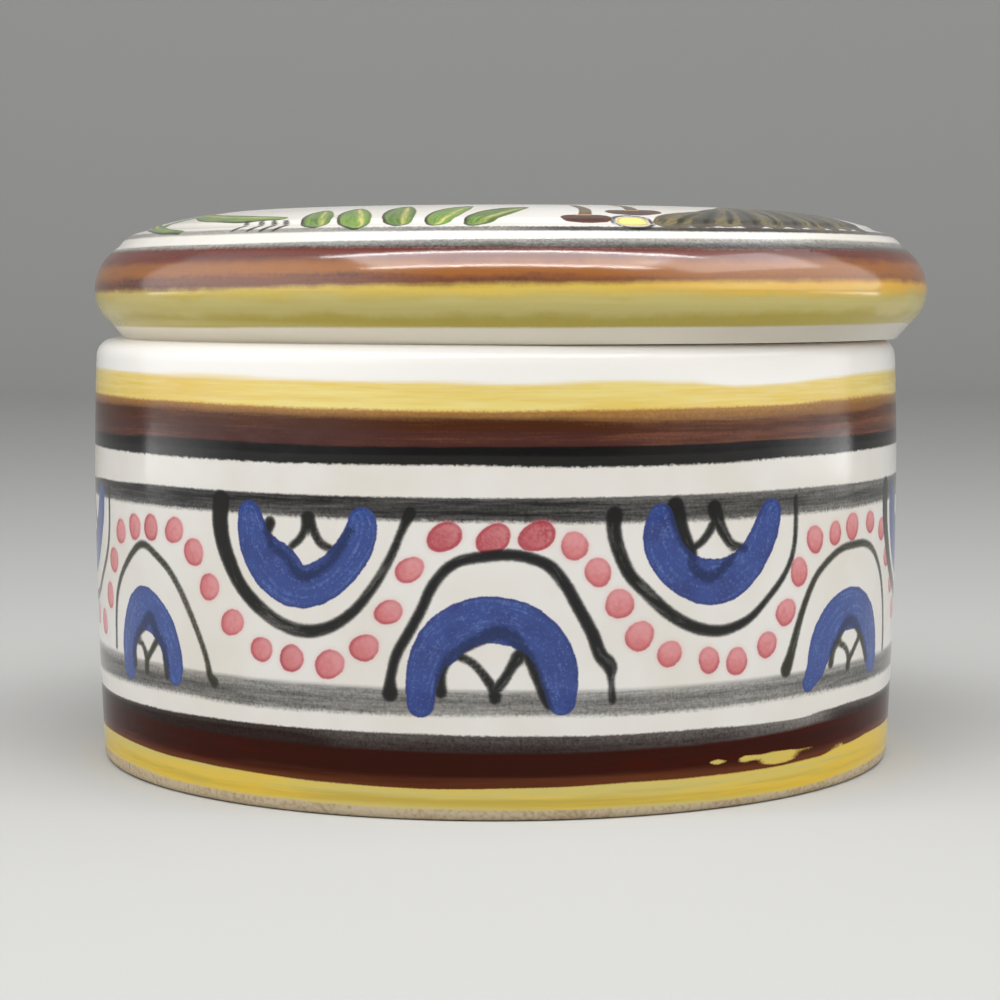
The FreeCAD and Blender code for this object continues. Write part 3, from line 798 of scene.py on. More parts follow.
# Which bands' edges are the top and foot of the upper line and of the lower one, and a height between.
LINE_EDGES = (8, 7, 6, 5)
BETWEEN_LINES = 25

# How thin, dense or rich some colours are round the wall, by azimuth.
WALL_TINTS = {
    "brown_thin": {-70: 0.45, -35: 0.3, -20: 0.0, 10: 0.0, 20: 0.65, 45: 0.75, 70: 0.95, 120: 0.2,
                   240: 0.3},
    "soot_load": {-70: 0.98, -28: 0.97, -18: 0.91, 0: 0.92, 30: 0.89, 38: 0.83, 46: 0.75, 54: 0.92,
                  75: 0.95, 140: 0.9, 220: 0.94},
    "upper_rich": {-70: 0.45, -46: 0.9, -30: 0.4, 0: 0.25, 22: 0.5, 36: 0.6, 49: 1.15, 62: 0.4, 100: 0.3,
                   200: 0.5},
    "yellow_rich": {-70: 0.75, -35: 0.6, -15: 0.1, 15: 0.1, 40: 0.55, 65: 1.0, 130: 0.4, 200: 0.2,
                    250: 0.5},
}


def wander(azimuth, strays):
    """Height of a brushed edge round the wall, smooth between the given places and joined up behind."""
    knots = sorted(strays)
    places = np.array([knots[-1] - 360] + knots + [knots[0] + 360], dtype=float)
    heights = np.array([strays[knots[-1]]] + [strays[knot] for knot in knots] + [strays[knots[0]]])
    around = (azimuth - knots[0]) % 360 + knots[0]
    index = np.clip(np.searchsorted(places, around, side="right") - 1, 0, len(places) - 2)
    share = (around - places[index]) / (places[index + 1] - places[index])
    ease = share * share * (3 - 2 * share)
    return heights[index] * (1 - ease) + heights[index + 1] * ease


def usual_height(azimuth, height):
    """Height that each point would have if every band ran at its usual height."""
    usual = np.array([edge[0] for edge in BAND_EDGES])
    here = np.stack([wander(azimuth, strays) if strays else np.full(len(azimuth), level)
                     for level, strays in BAND_EDGES])
    result = np.array(height, dtype=float)
    for index in range(len(usual) - 1):
        low, high = here[index], here[index + 1]
        inside = (height >= low) & (height <= high)
        share = (height - low) / (high - low)
        result = np.where(inside, usual[index] + share * (usual[index + 1] - usual[index]), result)
    return result


def line_load(azimuth, usual):
    """Load of black in the two grey lines, from 0 to 1."""
    right = np.clip((azimuth - 5) / 40, 0, 1) * np.clip((100 - azimuth) / 30, 0, 1)
    upper_top, upper_foot, lower_top, lower_foot = (BAND_EDGES[index][0] for index in LINE_EDGES)
    top_share = (upper_top - usual) / (upper_top - upper_foot)
    full = np.interp(top_share, *zip(*UPPER_LINE_FULL))
    thin = np.interp(top_share, *zip(*UPPER_LINE_THIN))
    low_share = (lower_top - usual) / (lower_top - lower_foot)
    low = np.interp(low_share, *zip(*LOWER_LINE))
    low = low + wander(azimuth, LOWER_LINE_MORE)
    return np.where(usual > BETWEEN_LINES, full * (1 - right) + thin * right, low)


def on_sheet(points, shift=0.0):
    """Stroke points in degrees, moved round the wall and turned into millimetres on the unrolled wall."""
    return [((azimuth + shift) * DEGREE_ON_SHEET, up, width) for azimuth, up, width in points]


def paint_figures(ink, cobalt):
    """Arches and festoons all round the wall."""
    for kind, middle, olive in WALL_FIGURES:
        home = MIDDLES[kind]
        for name, points in FIGURES[kind].items():
            layer = cobalt if name.startswith("cobalt") else ink
            layer.brush(on_sheet(points, middle - home), tone=olive)


def paint_dots(turning, sheet_across, height):
    """Rose dots in a wave between the figures."""
    edge = np.full(len(height), FAR)
    shade = np.zeros(len(height))
    red = np.zeros(len(height))
    draw = np.random.default_rng(7)
    dots = list(SEEN_DOTS)
    middle, swing, waves, start = DOT_WAVE
    for azimuth in np.linspace(UNSEEN_FROM, UNSEEN_TO, UNSEEN_DOTS):
        level = middle + swing * math.cos(math.radians(azimuth - start) * waves)
        dots.append((azimuth, level + draw.normal(0, 0.25), 3.2 + draw.normal(0, 0.15),
                     3.1 + draw.normal(0, 0.12), 0.35 + 0.15 * draw.random(), -1))
    for azimuth, level, width, tall, redness, lean in dots:
        across = (sheet_across - azimuth * DEGREE_ON_SHEET + SHEET_TURN / 2) % SHEET_TURN - SHEET_TURN / 2
        up = height - level
        tilt = math.radians(DOT_TILT[lean])
        along = across * math.cos(tilt) + up * math.sin(tilt)
        aside = up * math.cos(tilt) - across * math.sin(tilt)
        angle = np.arctan2(aside, along)
        phase = azimuth * 1.7
        waver = 1 + 0.03 * np.sin(2 * angle + phase) + 0.022 * np.sin(3 * angle + 2 * phase)
        reach = np.hypot(along / (width / 2), aside / (tall / 2)) / waver
        gap = (reach - 1) * (width + tall) / 4
        better = gap < edge
        edge = np.where(better, gap, edge)
        thinning = (along * 0.3 + aside) * 2 / tall if lean > 0 else along * 2 / width
        shade = np.where(better, thinning, shade)
        red = np.where(better, redness, red)
    turning.keep("dot_edge", np.minimum(edge, FAR))
    turning.keep("dot_shade", np.clip(shade, -2, 2))
    turning.keep("dot_red", red)


def paint_wall(turning):
    """Work out all the wall's brushwork on the body's points."""
    azimuth = np.degrees(turning.azimuth)
    height = turning.height / MM
    outside = turning.stretch == "wall"
    across = np.where(outside, azimuth * DEGREE_ON_SHEET, NOWHERE)
    usual = usual_height(azimuth, height)
    turning.keep("band_height", usual)
    turning.keep("line_load", line_load(azimuth, usual))
    for name, strays in WALL_TINTS.items():
        turning.keep(name, wander(azimuth, strays))
    up = np.where(outside, height, -NOWHERE)
    ink, cobalt, lemon = (PaintLayer(across, up, SHEET_TURN) for _ in range(3))
    paint_figures(ink, cobalt)
    for slip in LEMON_SLIPS:
        lemon.brush(on_sheet(slip))
    ink.store(turning, "ink")
    cobalt.store(turning, "cobalt")
    turning.keep("lemon_edge", lemon.edge)
    paint_dots(turning, across, height)


# The lid's painting. Places are (azimuth, distance from the lid's middle).

# Leaves: azimuth and radius of the base, the same of the tip, and width.
GARLAND_LEAVES = [
    ((-31.5, 40.0), (-27.3, 46.4), 3.6), ((-26.0, 39.0), (-20.8, 46.9), 3.8),
    ((-18.0, 37.5), (-15.2, 46.3), 3.7), ((-7.2, 37.5), (-10.5, 46.3), 3.6),
    ((2.0, 38.5), (-5.6, 46.3), 3.7), ((-67.0, 36.0), (-75.0, 45.5), 3.4),
    ((-62.0, 35.0), (-66.0, 45.8), 3.2),
]
# How a leaf swells: share of its length, share of its width and how much it bows there.
LEAF_SWELL = [(0.0, 0.3, 0.0), (0.25, 0.8, 0.8), (0.5, 1.0, 1.0), (0.75, 0.92, 0.8), (0.92, 0.6, 0.2)]
LEAF_BOW = 0.05
# Other colours: tone, then points of (azimuth, radius, width).
GARLAND_BLOOMS = [
    (0.05, [(8.3, 44.0, 2.3), (10.5, 44.1, 2.7), (12.7, 44.0, 2.3)]),
    (0.75, [(10.8, 42.6, 1.5), (11.6, 39.5, 1.2), (11.0, 36.0, 1.0)]),
    (0.05, [(16.0, 41.2, 2.4), (19.0, 41.4, 3.0), (22.0, 41.0, 2.4)]),
    (0.75, [(19.5, 39.6, 1.5), (20.0, 37.0, 1.2), (19.0, 34.0, 1.0)]),
    (0.3, [(16.2, 45.2, 2.7), (17.4, 45.2, 2.7)]),
]
PLUMES = 10
PLUME_FROM = 21.6
PLUME_STEP = 4.4
PLUME_REACH = 45.7
PETALS = 9
SEEDS = 11
GARLAND_BLADES = [
    [(-82.0, 43.5, 1.0), (-70.0, 45.2, 1.8), (-60.0, 46.6, 1.5), (-53.0, 47.3, 0.8)],
    [(-64.0, 40.5, 2.0), (-54.0, 42.3, 3.2), (-44.0, 43.3, 2.8), (-36.0, 43.6, 1.4)],
]
GARLAND_TICKS = [-42.0, -39.0, -36.6, -34.4]


# How the lid's rings stray, and their loads, starts and warmth, by azimuth. The warmth also darkens the
# strip under the edge as painted shade, more towards the right.
LID_STRAYS = {-75: 0.35, -50: 0.25, -25: 0.05, 0: 0.0, 25: 0.0, 45: -0.15, 75: -0.2, 130: 0.1, 190: -0.1,
              240: 0.1}
LID_TINTS = {
    "inner_load": {-70: 0.62, -25: 0.6, -5: 0.7, 8: 0.9, 40: 0.93, 75: 0.8, 180: 0.85},
    "outer_from": {-75: 0.5, -45: 0.45, -20: 0.2, 5: 0.0, 35: -0.1, 60: 0.0, 120: 0.0},
    "gold_warmth": {-70: 0.1, -30: 0.0, 0: 0.15, 14: 0.35, 32: 0.85, 45: 1.0, 70: 1.0, 120: 0.4,
                    220: 0.2},
    "gold_from": {-70: 0.5, -50: 0.5, -25: 0.1, 0: 0.0, 12: -0.1, 22: -0.3, 50: -0.25, 75: -0.1,
                  180: 0.0},
}


def from_middle(points, turned=0.0):
    """Stroke points by azimuth and radius, turned by some degrees, on the flat sheet of the dome."""
    angles = [math.radians(azimuth + turned) for azimuth, _, _ in points]
    return [(radius * math.sin(angle), -radius * math.cos(angle), width)
            for angle, (_, radius, width) in zip(angles, points)]


def leaf_tone(azimuth):
    """How dark a leaf is, which differs from one to the next."""
    return 0.5 + 0.5 * math.sin(azimuth)


def leaf_points(base, tip, width, turned=0.0):
    """A leaf that swells from a thin base and ends in a rounded tip. Both are (azimuth, radius)."""
    start, end = np.array(from_middle([base + (0,), tip + (0,)], turned))[:, :2]
    aside = np.array([end[1] - start[1], start[0] - end[0]]) * LEAF_BOW
    return [(*(start * (1 - share) + end * share + aside * bow), width * fat)
            for share, fat, bow in LEAF_SWELL]


def paint_garland(ink, leaves, blooms, turned):
    """One half of the garland round the dome, turned by some degrees."""
    for base, tip, width in GARLAND_LEAVES:
        leaves.brush(leaf_points(base, tip, width, turned), tone=leaf_tone(base[0]))
    for tone, points in GARLAND_BLOOMS:
        blooms.brush(from_middle(points, turned), tone)
    for index in range(PLUMES):
        azimuth = PLUME_FROM + PLUME_STEP * index
        reach = PLUME_REACH - 0.25 * (index % 3)
        short = max(0.0, 1 - index / 3)
        plume = [(azimuth, reach, 3.0), (azimuth + 3.0, 43.2 + short, 4.4),
                 (azimuth + 8.0, 38.0 + short * 4, 3.8 - short),
                 (azimuth + 14.0, 33.0 + short * 7, 2.0 - short)]
        blooms.brush(from_middle(plume, turned), tone=0.72 + 0.27 * (index % 2))
        vein = [(azimuth + 1.5, reach + 0.2, 0.5), (azimuth + 4.0, 42.8 + short, 0.8),
                (azimuth + 8.5, 37.5 + short * 4, 0.6)]
        ink.brush(from_middle(vein, turned), tone=0.8)
    for blade in GARLAND_BLADES:
        leaves.brush(from_middle(blade, turned), tone=0.2)
    for azimuth in GARLAND_TICKS:
        tick = [(azimuth, 44.4, 0.6), (azimuth + 1.4, 45.8, 0.8), (azimuth + 0.8, 47.2, 0.7)]
        ink.brush(from_middle(tick, turned), tone=0.4)
    berry = [(16.8 + 2.8 * math.cos(step), 45.2 + 2.0 * math.sin(step), 0.6)
             for step in np.arange(0.5, 6.6, 0.5)]
    ink.brush(from_middle(berry, turned), tone=0.2)


def paint_rosette(ink, leaves, blooms):
    """Flower in the middle of the dome with a ring of leaves."""
    for index in range(PETALS):
        azimuth = 360 / PETALS * index + 8
        petal = [(azimuth, 5.2, 2.0), (azimuth + 1, 9.0, 4.6), (azimuth, 13.0, 6.4),
                 (azimuth - 1, 15.6, 5.0)]
        blooms.brush(from_middle(petal), tone=0.5)
        vein = [(azimuth, 6.5, 0.5), (azimuth + 2, 10.0, 0.7), (azimuth + 1, 13.0, 0.5)]
        ink.brush(from_middle(vein), tone=0.2)
        lean = azimuth + 180 / PETALS
        leaves.brush(leaf_points((lean - 4, 17.5), (lean + 7, 30.5), 4.6), tone=leaf_tone(azimuth))
        bud = [(lean - 14, 25.8, 2.0), (lean - 12, 26.6, 2.2)]
        blooms.brush(from_middle(bud), tone=0.3 if index % 2 else 0.05)
        stalk = [(lean - 13, 18.5, 0.6), (lean - 12, 22.0, 0.7), (lean - 13, 24.6, 0.6)]
        ink.brush(from_middle(stalk), tone=0.5)
    blooms.brush(from_middle([(0, 0.01, 7.0), (0, 0.6, 7.0)]), tone=0.3)
    for index in range(SEEDS):
        azimuth = 360 / SEEDS * index
        ink.brush(from_middle([(azimuth, 3.4, 0.7), (azimuth + 6, 3.5, 0.7)]), tone=0.1)


def paint_lid(turning):
    """Work out all the lid's brushwork on its points."""
    azimuth = np.degrees(turning.azimuth)
    from_top = turning.from_centre / MM
    on_top = turning.stretch == "top"
    turning.keep("edge_run", from_top - wander(azimuth, LID_STRAYS))
    for name, strays in LID_TINTS.items():
        turning.keep(name, wander(azimuth, strays))
    radius = turning.radius / MM
    across = np.where(on_top, radius * np.sin(turning.azimuth), NOWHERE)
    up = np.where(on_top, -radius * np.cos(turning.azimuth), NOWHERE)
    ink, leaves, blooms = (PaintLayer(across, up) for _ in range(3))
    for turned in (0, 180):
        paint_garland(ink, leaves, blooms, turned)
    paint_rosette(ink, leaves, blooms)
    ink.store(turning, "ink")
    leaves.store(turning, "leaf")
    blooms.store(turning, "bloom")


# Shader building


class Shade:
    """A shader value that adds, subtracts and multiplies like a number."""

    def __init__(self, work, socket):
        self.work = work
        self.socket = socket

    def __add__(self, other):
        return self.work.sum("ADD", self, other)

    def __sub__(self, other):
        return self.work.sum("SUBTRACT", self, other)

    def __mul__(self, other):
        return self.work.sum("MULTIPLY", self, other)

    __radd__ = __add__
    __rmul__ = __mul__

    def __rsub__(self, other):
        return self.work.sum("SUBTRACT", other, self)

    def step(self, start, end):
        """Smooth step from 0 at start to 1 at end."""
        node = self.work.add("ShaderNodeMapRange")
        node.interpolation_type = "SMOOTHSTEP"
        falling = start > end
        self.work.join(node.inputs["Value"], self)
        self.work.join(node.inputs["From Min"], end if falling else start)
        self.work.join(node.inputs["From Max"], start if falling else end)
        self.work.join(node.inputs["To Min"], 1.0 if falling else 0.0)
        self.work.join(node.inputs["To Max"], 0.0 if falling else 1.0)
        return Shade(self.work, node.outputs["Result"])


class Workbench:
    """Adds shader nodes to one material or world."""

    def __init__(self, holder):
        holder.use_nodes = True
        self.holder = holder
        self.tree = holder.node_tree
        self.shader = self.tree.nodes.get("Principled BSDF")
        self.where = self.add("ShaderNodeTexCoord").outputs

    def add(self, kind):
        return self.tree.nodes.new(kind)

    def join(self, target, value):
        """Link a value to a socket, or set a plain number or colour on it."""
        value = value.socket if isinstance(value, Shade) else value
        if isinstance(value, bpy.types.NodeSocket):
            self.tree.links.new(value, target)
        elif target.type == "RGBA":
            target.default_value = tuple(value)[:3] + (1.0,)
        else:
            target.default_value = value

    def sum(self, operation, first, second):
        node = self.add("ShaderNodeMath")
        node.operation = operation
        self.join(node.inputs[0], first)
        self.join(node.inputs[1], second)
        return Shade(self, node.outputs[0])

    def most(self, first, second):
        return self.sum("MAXIMUM", first, second)

    def least(self, first, second):
        return self.sum("MINIMUM", first, second)

    def stored(self, name):
        """A number kept on the mesh."""
        node = self.add("ShaderNodeAttribute")
        node.attribute_name = name
        return Shade(self, node.outputs["Fac"])

    def scale(self, vector, factors):
        node = self.add("ShaderNodeVectorMath")
        node.operation = "MULTIPLY"
        self.join(node.inputs[0], vector)
        self.join(node.inputs[1], factors)
        return node.outputs["Vector"]

    def facing(self, vector, towards):
        """How far a vector points towards a direction."""
        node = self.add("ShaderNodeVectorMath")
        node.operation = "DOT_PRODUCT"
        self.join(node.inputs[0], vector)
        self.join(node.inputs[1], towards)
        return Shade(self, node.outputs["Value"])

    def trail(self, layer):
        """Place on a brushed layer's strokes, by the run along each and the side across it."""
        node = self.add("ShaderNodeCombineXYZ")
        self.join(node.inputs["X"], self.stored(f"{layer}_run"))
        self.join(node.inputs["Y"], self.stored(f"{layer}_side"))
        return node.outputs["Vector"]

    def noise(self, vector, factors=(1, 1, 1), detail=2.0, rough=0.5, contrast=1.0):
        """Cloudy noise about 0, from about -0.5 to 0.5 at a contrast of 1."""
        node = self.add("ShaderNodeTexNoise")
        node.inputs["Scale"].default_value = 1.0
        node.inputs["Detail"].default_value = detail
        node.inputs["Roughness"].default_value = rough
        self.join(node.inputs["Vector"], self.scale(vector, factors))
        return (Shade(self, node.outputs["Fac"]) - 0.5) * (2.0 * contrast)

    def blend(self, share, below, above):
        """Colour above over colour below, by a share."""
        node = self.add("ShaderNodeMix")
        node.data_type = "RGBA"
        self.join(node.inputs["Factor"], share)
        self.join(node.inputs[6], below)
        self.join(node.inputs[7], above)
        return node.outputs[2]

    def finish(self, base, roughness, relief, depth):
        """Join colour, roughness and relief to the shader."""
        self.join(self.shader.inputs["Base Color"], base)
        self.join(self.shader.inputs["Roughness"], roughness)
        bump = self.add("ShaderNodeBump")
        bump.inputs["Distance"].default_value = depth * MM
        self.join(bump.inputs["Height"], relief)
        self.join(self.shader.inputs["Normal"], bump.outputs["Normal"])
        return self.holder


class Grains:
    """Noises that several finishes share, all in millimetres and with no seam."""

    def __init__(self, work):
        place = work.scale(work.where["Object"], (1 / MM, 1 / MM, 1 / MM))
        self.place = place
        self.cloud = work.noise(place, (0.09, 0.09, 0.09), detail=3)
        self.grain = work.noise(place, (3.4, 3.4, 3.4), detail=2, rough=0.6, contrast=1.2)
        self.speck = work.noise(place, (1.9, 1.9, 1.9), detail=1, contrast=1.3)
        self.waver = work.noise(place, (0.35, 0.35, 0.35), detail=2)
        self.streak = work.noise(place, (0.05, 0.05, 1.1), detail=4, rough=0.55, contrast=1.2)
        self.hair = work.noise(place, (0.25, 0.25, 4.0), detail=3, rough=0.5, contrast=1.1)

    def stir(self, value, **shares):
        """A value that strays by some of the noises, each by its share."""
        for name, share in shares.items():
            value = value + getattr(self, name) * share
        return value


# Finishes. Edges of colours are in millimetres, each as (where the colour starts, where it is full).

RIM_WHITE = (45.5, 48.3)
YELLOW_TOP = (48.05, 47.25)
YELLOW_FOOT = (42.0, 42.6)
WASH_MIDDLE = 44.6
WASH_TOP = (44.85, 44.4)
FULL_BROWN_TOP = (44.05, 43.25)
BROWN_FOOT = (39.5, 39.9)
BLACK_TOP = (40.85, 40.5)
BLACK_FOOT = (38.42, 38.76)
UPPER_GREY = ((32.35, 32.95), (35.4, 35.1))
LOWER_GREY = ((11.2, 11.85), (14.75, 14.1))
SOOT_TOP = (9.62, 9.35)
SOOT_DENSER = (9.2, 8.1)
SOOT_FOOT = (3.0, 3.4)
OXBLOOD_TOP = (8.0, 7.5)
OXBLOOD_WARMER = (5.4, 4.1)
STRAW_TOP = (4.08, 3.9)
MUSTARD_TOP = (3.2, 2.2)
MUSTARD_FOOT = (1.4, 2.0)
BARE_TOP = (1.5, 1.2)
LEAN_GLAZE_TOP = (9.9, 8.7)

# The same on the lid, by the length along its section from the middle of the dome.
INNER_GREY = ((46.9, 47.4), (48.35, 47.95))
OUTER_GREY_FROM = (49.15, 49.5)
OUTER_GREY_DENSER = (49.2, 50.9)
OUTER_GREY_TO = (51.5, 50.8)
BRICK_FROM = (50.5, 51.2)
OCHRE_FROM = (51.9, 53.3)
OCHRE_TO = (55.0, 53.7)
FOX_FROM = (53.9, 54.7)
BRICK_TO = (56.6, 55.6)
YELLOW_FROM = (54.85, 55.75)
OLIVE_AND_SHADE_FROM = (55.9, 57.3)
PALE_YELLOW = ((55.7, 57.3), (59.4, 58.0))
YELLOW_TO = (60.75, 60.3)
WARM_WHITE_FROM = (59.0, 60.5)

WALL_IOR = 1.41
LID_IOR = 1.74
FULL_GLOSS = 0.5
LEAN_LOSS = 0.42
GLAZE_ROUGHNESS = 0.14
BARE_ROUGHER = 0.62
CLAY_ROUGHNESS = 0.78
GLAZE_RELIEF = 0.02
CLAY_RELIEF = 0.05


def new_finish(name):
    """Nodes and noises of a new material."""
    work = Workbench(bpy.data.materials.new(name))
    return work, Grains(work)


def between(value, edges):
    """1 where a value lies between two soft edges, and 0 elsewhere."""
    low, high = edges
    return value.step(*low) * value.step(*high)


def white_ground(work, colours, grains):
    """White glaze with slightly warmer clouds."""
    return work.blend(grains.cloud.step(-0.35, 0.45), colours.white, colours.cream)


def rim_ground(work, colours, grains, height, below):
    """Thicker and brighter white at the rim."""
    return work.blend(grains.stir(height, streak=0.3).step(*RIM_WHITE), below, colours.rim_white)


def glaze_surface(work, base, grains, bare=None, ior=WALL_IOR, thin=None):
    """Clear glaze: glossy with faint waves, less so where it is thin, and dull where the clay is bare."""
    roughness = grains.stir(GLAZE_ROUGHNESS, waver=0.03, speck=0.02)
    relief = grains.waver * 0.6 + grains.speck * 0.03
    if bare is not None:
        roughness = roughness + bare * BARE_ROUGHER
        relief = relief + bare * (grains.grain * 1.2)
    gloss = work.shader.inputs["Specular IOR Level"]
    gloss.default_value = FULL_GLOSS
    if thin is not None:
        work.join(gloss, FULL_GLOSS - thin * LEAN_LOSS)
    work.shader.inputs["IOR"].default_value = ior
    return work.finish(base, roughness, relief, GLAZE_RELIEF)


def granular(work, below, ink, load, grains):
    """Black pigment that lets light grains of the ground through where its load is partial."""
    grit = grains.grain * 0.75 + grains.speck * 0.35 + grains.streak * 0.5 + grains.hair * 0.5
    cover = work.least(work.most(load + load * (1.0 - load) * grit, 0.0), 1.0)
    return work.blend(cover, below, ink)


def upper_bands(work, colours, grains, height, below):
    """Yellow, washed brown and black rings under the rim."""
    rich = grains.stir(work.stored("upper_rich") * 0.6, streak=1.0, hair=0.15).step(-0.5, 1.0)
    yellow = work.blend(rich, colours.lemon, colours.golden)
    cover = grains.stir(height, streak=0.45, hair=0.08).step(*YELLOW_TOP) * (grains.hair * 0.15 + 0.9)
    shown = work.blend(cover * height.step(*YELLOW_FOOT), below, yellow)
    core = grains.stir(height, streak=0.35, hair=0.2, grain=0.15).step(*FULL_BROWN_TOP)
    thin = grains.stir(work.stored("brown_thin") * 0.55, streak=0.7, hair=0.3, grain=0.2).step(0.05, 1.05)
    brown = work.blend(thin, colours.red_brown, colours.fox_brown)
    sunk = grains.stir(WASH_MIDDLE - height, grain=0.45, speck=0.3, streak=0.4)
    washed = work.blend(sunk.step(-0.1, 0.85), colours.ochre, colours.fox_brown)
    cover = grains.stir(height, grain=0.14, speck=0.1, streak=0.1).step(*WASH_TOP) * (core * 0.1 + 0.88)
    shown = work.blend(cover * height.step(*BROWN_FOOT), shown, work.blend(core, washed, brown))
    top = grains.stir(height, streak=0.12, hair=0.08).step(*BLACK_TOP)
    low = grains.stir(height, grain=0.16, speck=0.1).step(*BLACK_FOOT)
    return work.blend(top * low * 0.985, shown, colours.charcoal)


def grey_lines(work, colours, grains, height, below):
    """The two granular black lines that the figures stand on and hang from."""
    load = grains.stir(work.stored("line_load"), hair=0.06, streak=0.07)
    fuzz = grains.stir(height, grain=0.12, speck=0.08)
    lines = between(fuzz, UPPER_GREY) + between(fuzz, LOWER_GREY)
    return granular(work, below, colours.charcoal, lines * load, grains)


def lower_bands(work, colours, grains, height, below):
    """Soot black, oxblood and straw yellow rings over the bare foot."""
    fuzz = grains.stir(height, grain=0.12, speck=0.08)
    denser = grains.stir(height, streak=0.3).step(*SOOT_DENSER) * 0.05
    load = fuzz.step(*SOOT_TOP) * work.least(work.stored("soot_load") + denser, 0.985)
    soot = work.blend(0.4, colours.charcoal, colours.oxblood)
    shown = granular(work, below, soot, load * fuzz.step(*SOOT_FOOT), grains)
    thin = grains.stir(work.stored("brown_thin") * 0.45, streak=0.7, hair=0.6).step(0.0, 0.8)
    brown = work.blend(thin, colours.oxblood, colours.red_brown)
    warm = grains.stir(height, streak=0.8).step(*OXBLOOD_WARMER)
    brown = work.blend(warm * 0.55, brown, colours.fox_brown)
    cover = grains.stir(height, streak=0.25, grain=0.12).step(*OXBLOOD_TOP)
    shown = work.blend(cover, shown, brown)
    top = grains.stir(height, streak=0.9).step(*MUSTARD_TOP)
    foot = grains.stir(height, streak=0.5).step(*MUSTARD_FOOT)
    tint = work.blend(top * foot * 0.75, colours.straw, colours.mustard)
    rich = grains.stir(work.stored("yellow_rich") * 0.9, hair=0.5, streak=1.0).step(-0.1, 1.1)
    tint = work.blend(rich * 0.8, tint, colours.golden)
    cover = grains.stir(height, streak=0.12, grain=0.05).step(*STRAW_TOP)
    slip = grains.stir(work.stored("lemon_edge"), grain=0.08, hair=0.1).step(0.1, -0.1)
    return work.blend(work.most(cover, slip * 0.95), shown, tint)


def rose_dots(work, colours, grains, below):
    """Dots of thin rose with redder rims, laid slantwise."""
    edge = grains.stir(work.stored("dot_edge"), speck=0.05, waver=0.14)
    shade = work.stored("dot_shade")
    red = work.stored("dot_red")
    pool = grains.speck * 0.6 + grains.waver * 0.6 + grains.grain * 0.35
    body = work.blend((shade + pool).step(-0.9, 0.9), colours.rose, colours.blush)
    rim = edge.step(-0.6, -0.12) * (red * 0.7 + 0.4) * (1.0 - (shade + pool * 0.5).step(-0.4, 1.1) * 0.75)
    deep = red.step(0.35, 1.0) * ((pool - shade * 0.25).step(-0.5, 0.6) * 0.6 + 0.5)
    body = work.blend(work.least(rim + deep, 1.0), body, colours.crimson)
    shown = work.blend(edge.step(0.6, 0.0) * 0.16, below, colours.blush)
    return work.blend(edge.step(0.1, -0.12) * (0.92 + grains.grain * 0.06), shown, body)


def black_strokes(work, colours, grains, below):
    """Brush lines: dense in the middle, grainy and greyer towards their edges. Also gives their cover."""
    edge = work.stored("ink_edge")
    rough = grains.stir(edge, grain=0.09, speck=0.06)
    bristle = work.noise(work.trail("ink"), (0.3, 1.6, 1.0), detail=3, contrast=1.3)
    worn = work.noise(grains.place, (0.12, 0.12, 0.12), detail=2, contrast=1.4)
    load = 0.995 - rough.step(-0.45, 0.0) * 0.1 - (bristle + worn).step(0.1, 0.9) * 0.08
    tint = work.blend(work.stored("ink_tone"), colours.charcoal, colours.olive)
    shown = granular(work, below, tint, rough.step(0.17, -0.2) * load, grains)
    return shown, grains.stir(edge, speck=0.2, grain=0.15).step(0.35, -0.5)


def cobalt_strokes(work, colours, grains, below, black):
    """Wide blue strokes with bristle marks, frayed edges and dark ends, darker over the black."""
    trail = work.trail("cobalt")
    bristle = work.noise(trail, (0.22, 5.5, 1.0), detail=3, rough=0.6, contrast=1.4)
    fray = work.noise(trail, (1.1, 0.8, 1.0), detail=2, contrast=1.0)
    edge = work.stored("cobalt_edge") + fray * 0.16 + grains.grain * 0.06
    pool = work.noise(grains.place, (0.3, 0.3, 0.3), detail=3, contrast=1.4)
    tint = work.blend((pool + bristle * 0.35).step(-0.2, 0.9) * 0.75, colours.cobalt, colours.deep_cobalt)
    streaked = (bristle + grains.speck * 0.6 - pool * 0.4).step(-0.05, 0.9)
    tint = work.blend(streaked * 0.6, tint, colours.pale_cobalt)
    tint = work.blend((bristle * 0.3 + grains.grain).step(0.12, 0.6) * 0.7, tint, colours.pale_cobalt)
    tint = work.blend(edge.step(-0.6, -0.05) * 0.5, tint, colours.deep_cobalt)
    tint = work.blend(work.stored("cobalt_tone") * 0.2, tint, colours.pale_cobalt)
    tint = work.blend(black * 0.85, tint, colours.drowned)
    return work.blend(edge.step(0.1, -0.1) * 0.985, below, tint)


def painted_wall_glaze(colours):
    """Finish of the body's outside, with all its bands and figures."""
    work, grains = new_finish("painted_wall_glaze")
    height = work.stored("band_height")
    shown = white_ground(work, colours, grains)
    for bands in (rim_ground, upper_bands, lower_bands, grey_lines):
        shown = bands(work, colours, grains, height, shown)
    shown = rose_dots(work, colours, grains, shown)
    shown, black = black_strokes(work, colours, grains, shown)
    shown = cobalt_strokes(work, colours, grains, shown, black)
    bare = grains.stir(height, streak=0.2, grain=0.06).step(*BARE_TOP)
    clay = work.blend((grains.speck + grains.cloud).step(-0.4, 0.9), colours.clay, colours.dark_clay)
    shown = work.blend(bare, shown, clay)
    thin = grains.stir(height, streak=0.3).step(*LEAN_GLAZE_TOP)
    return glaze_surface(work, shown, grains, bare, thin=thin)


def plain_glaze(colours):
    """White glaze of the inside and of the lid's hollow."""
    work, grains = new_finish("plain_white_glaze")
    return glaze_surface(work, white_ground(work, colours, grains), grains)


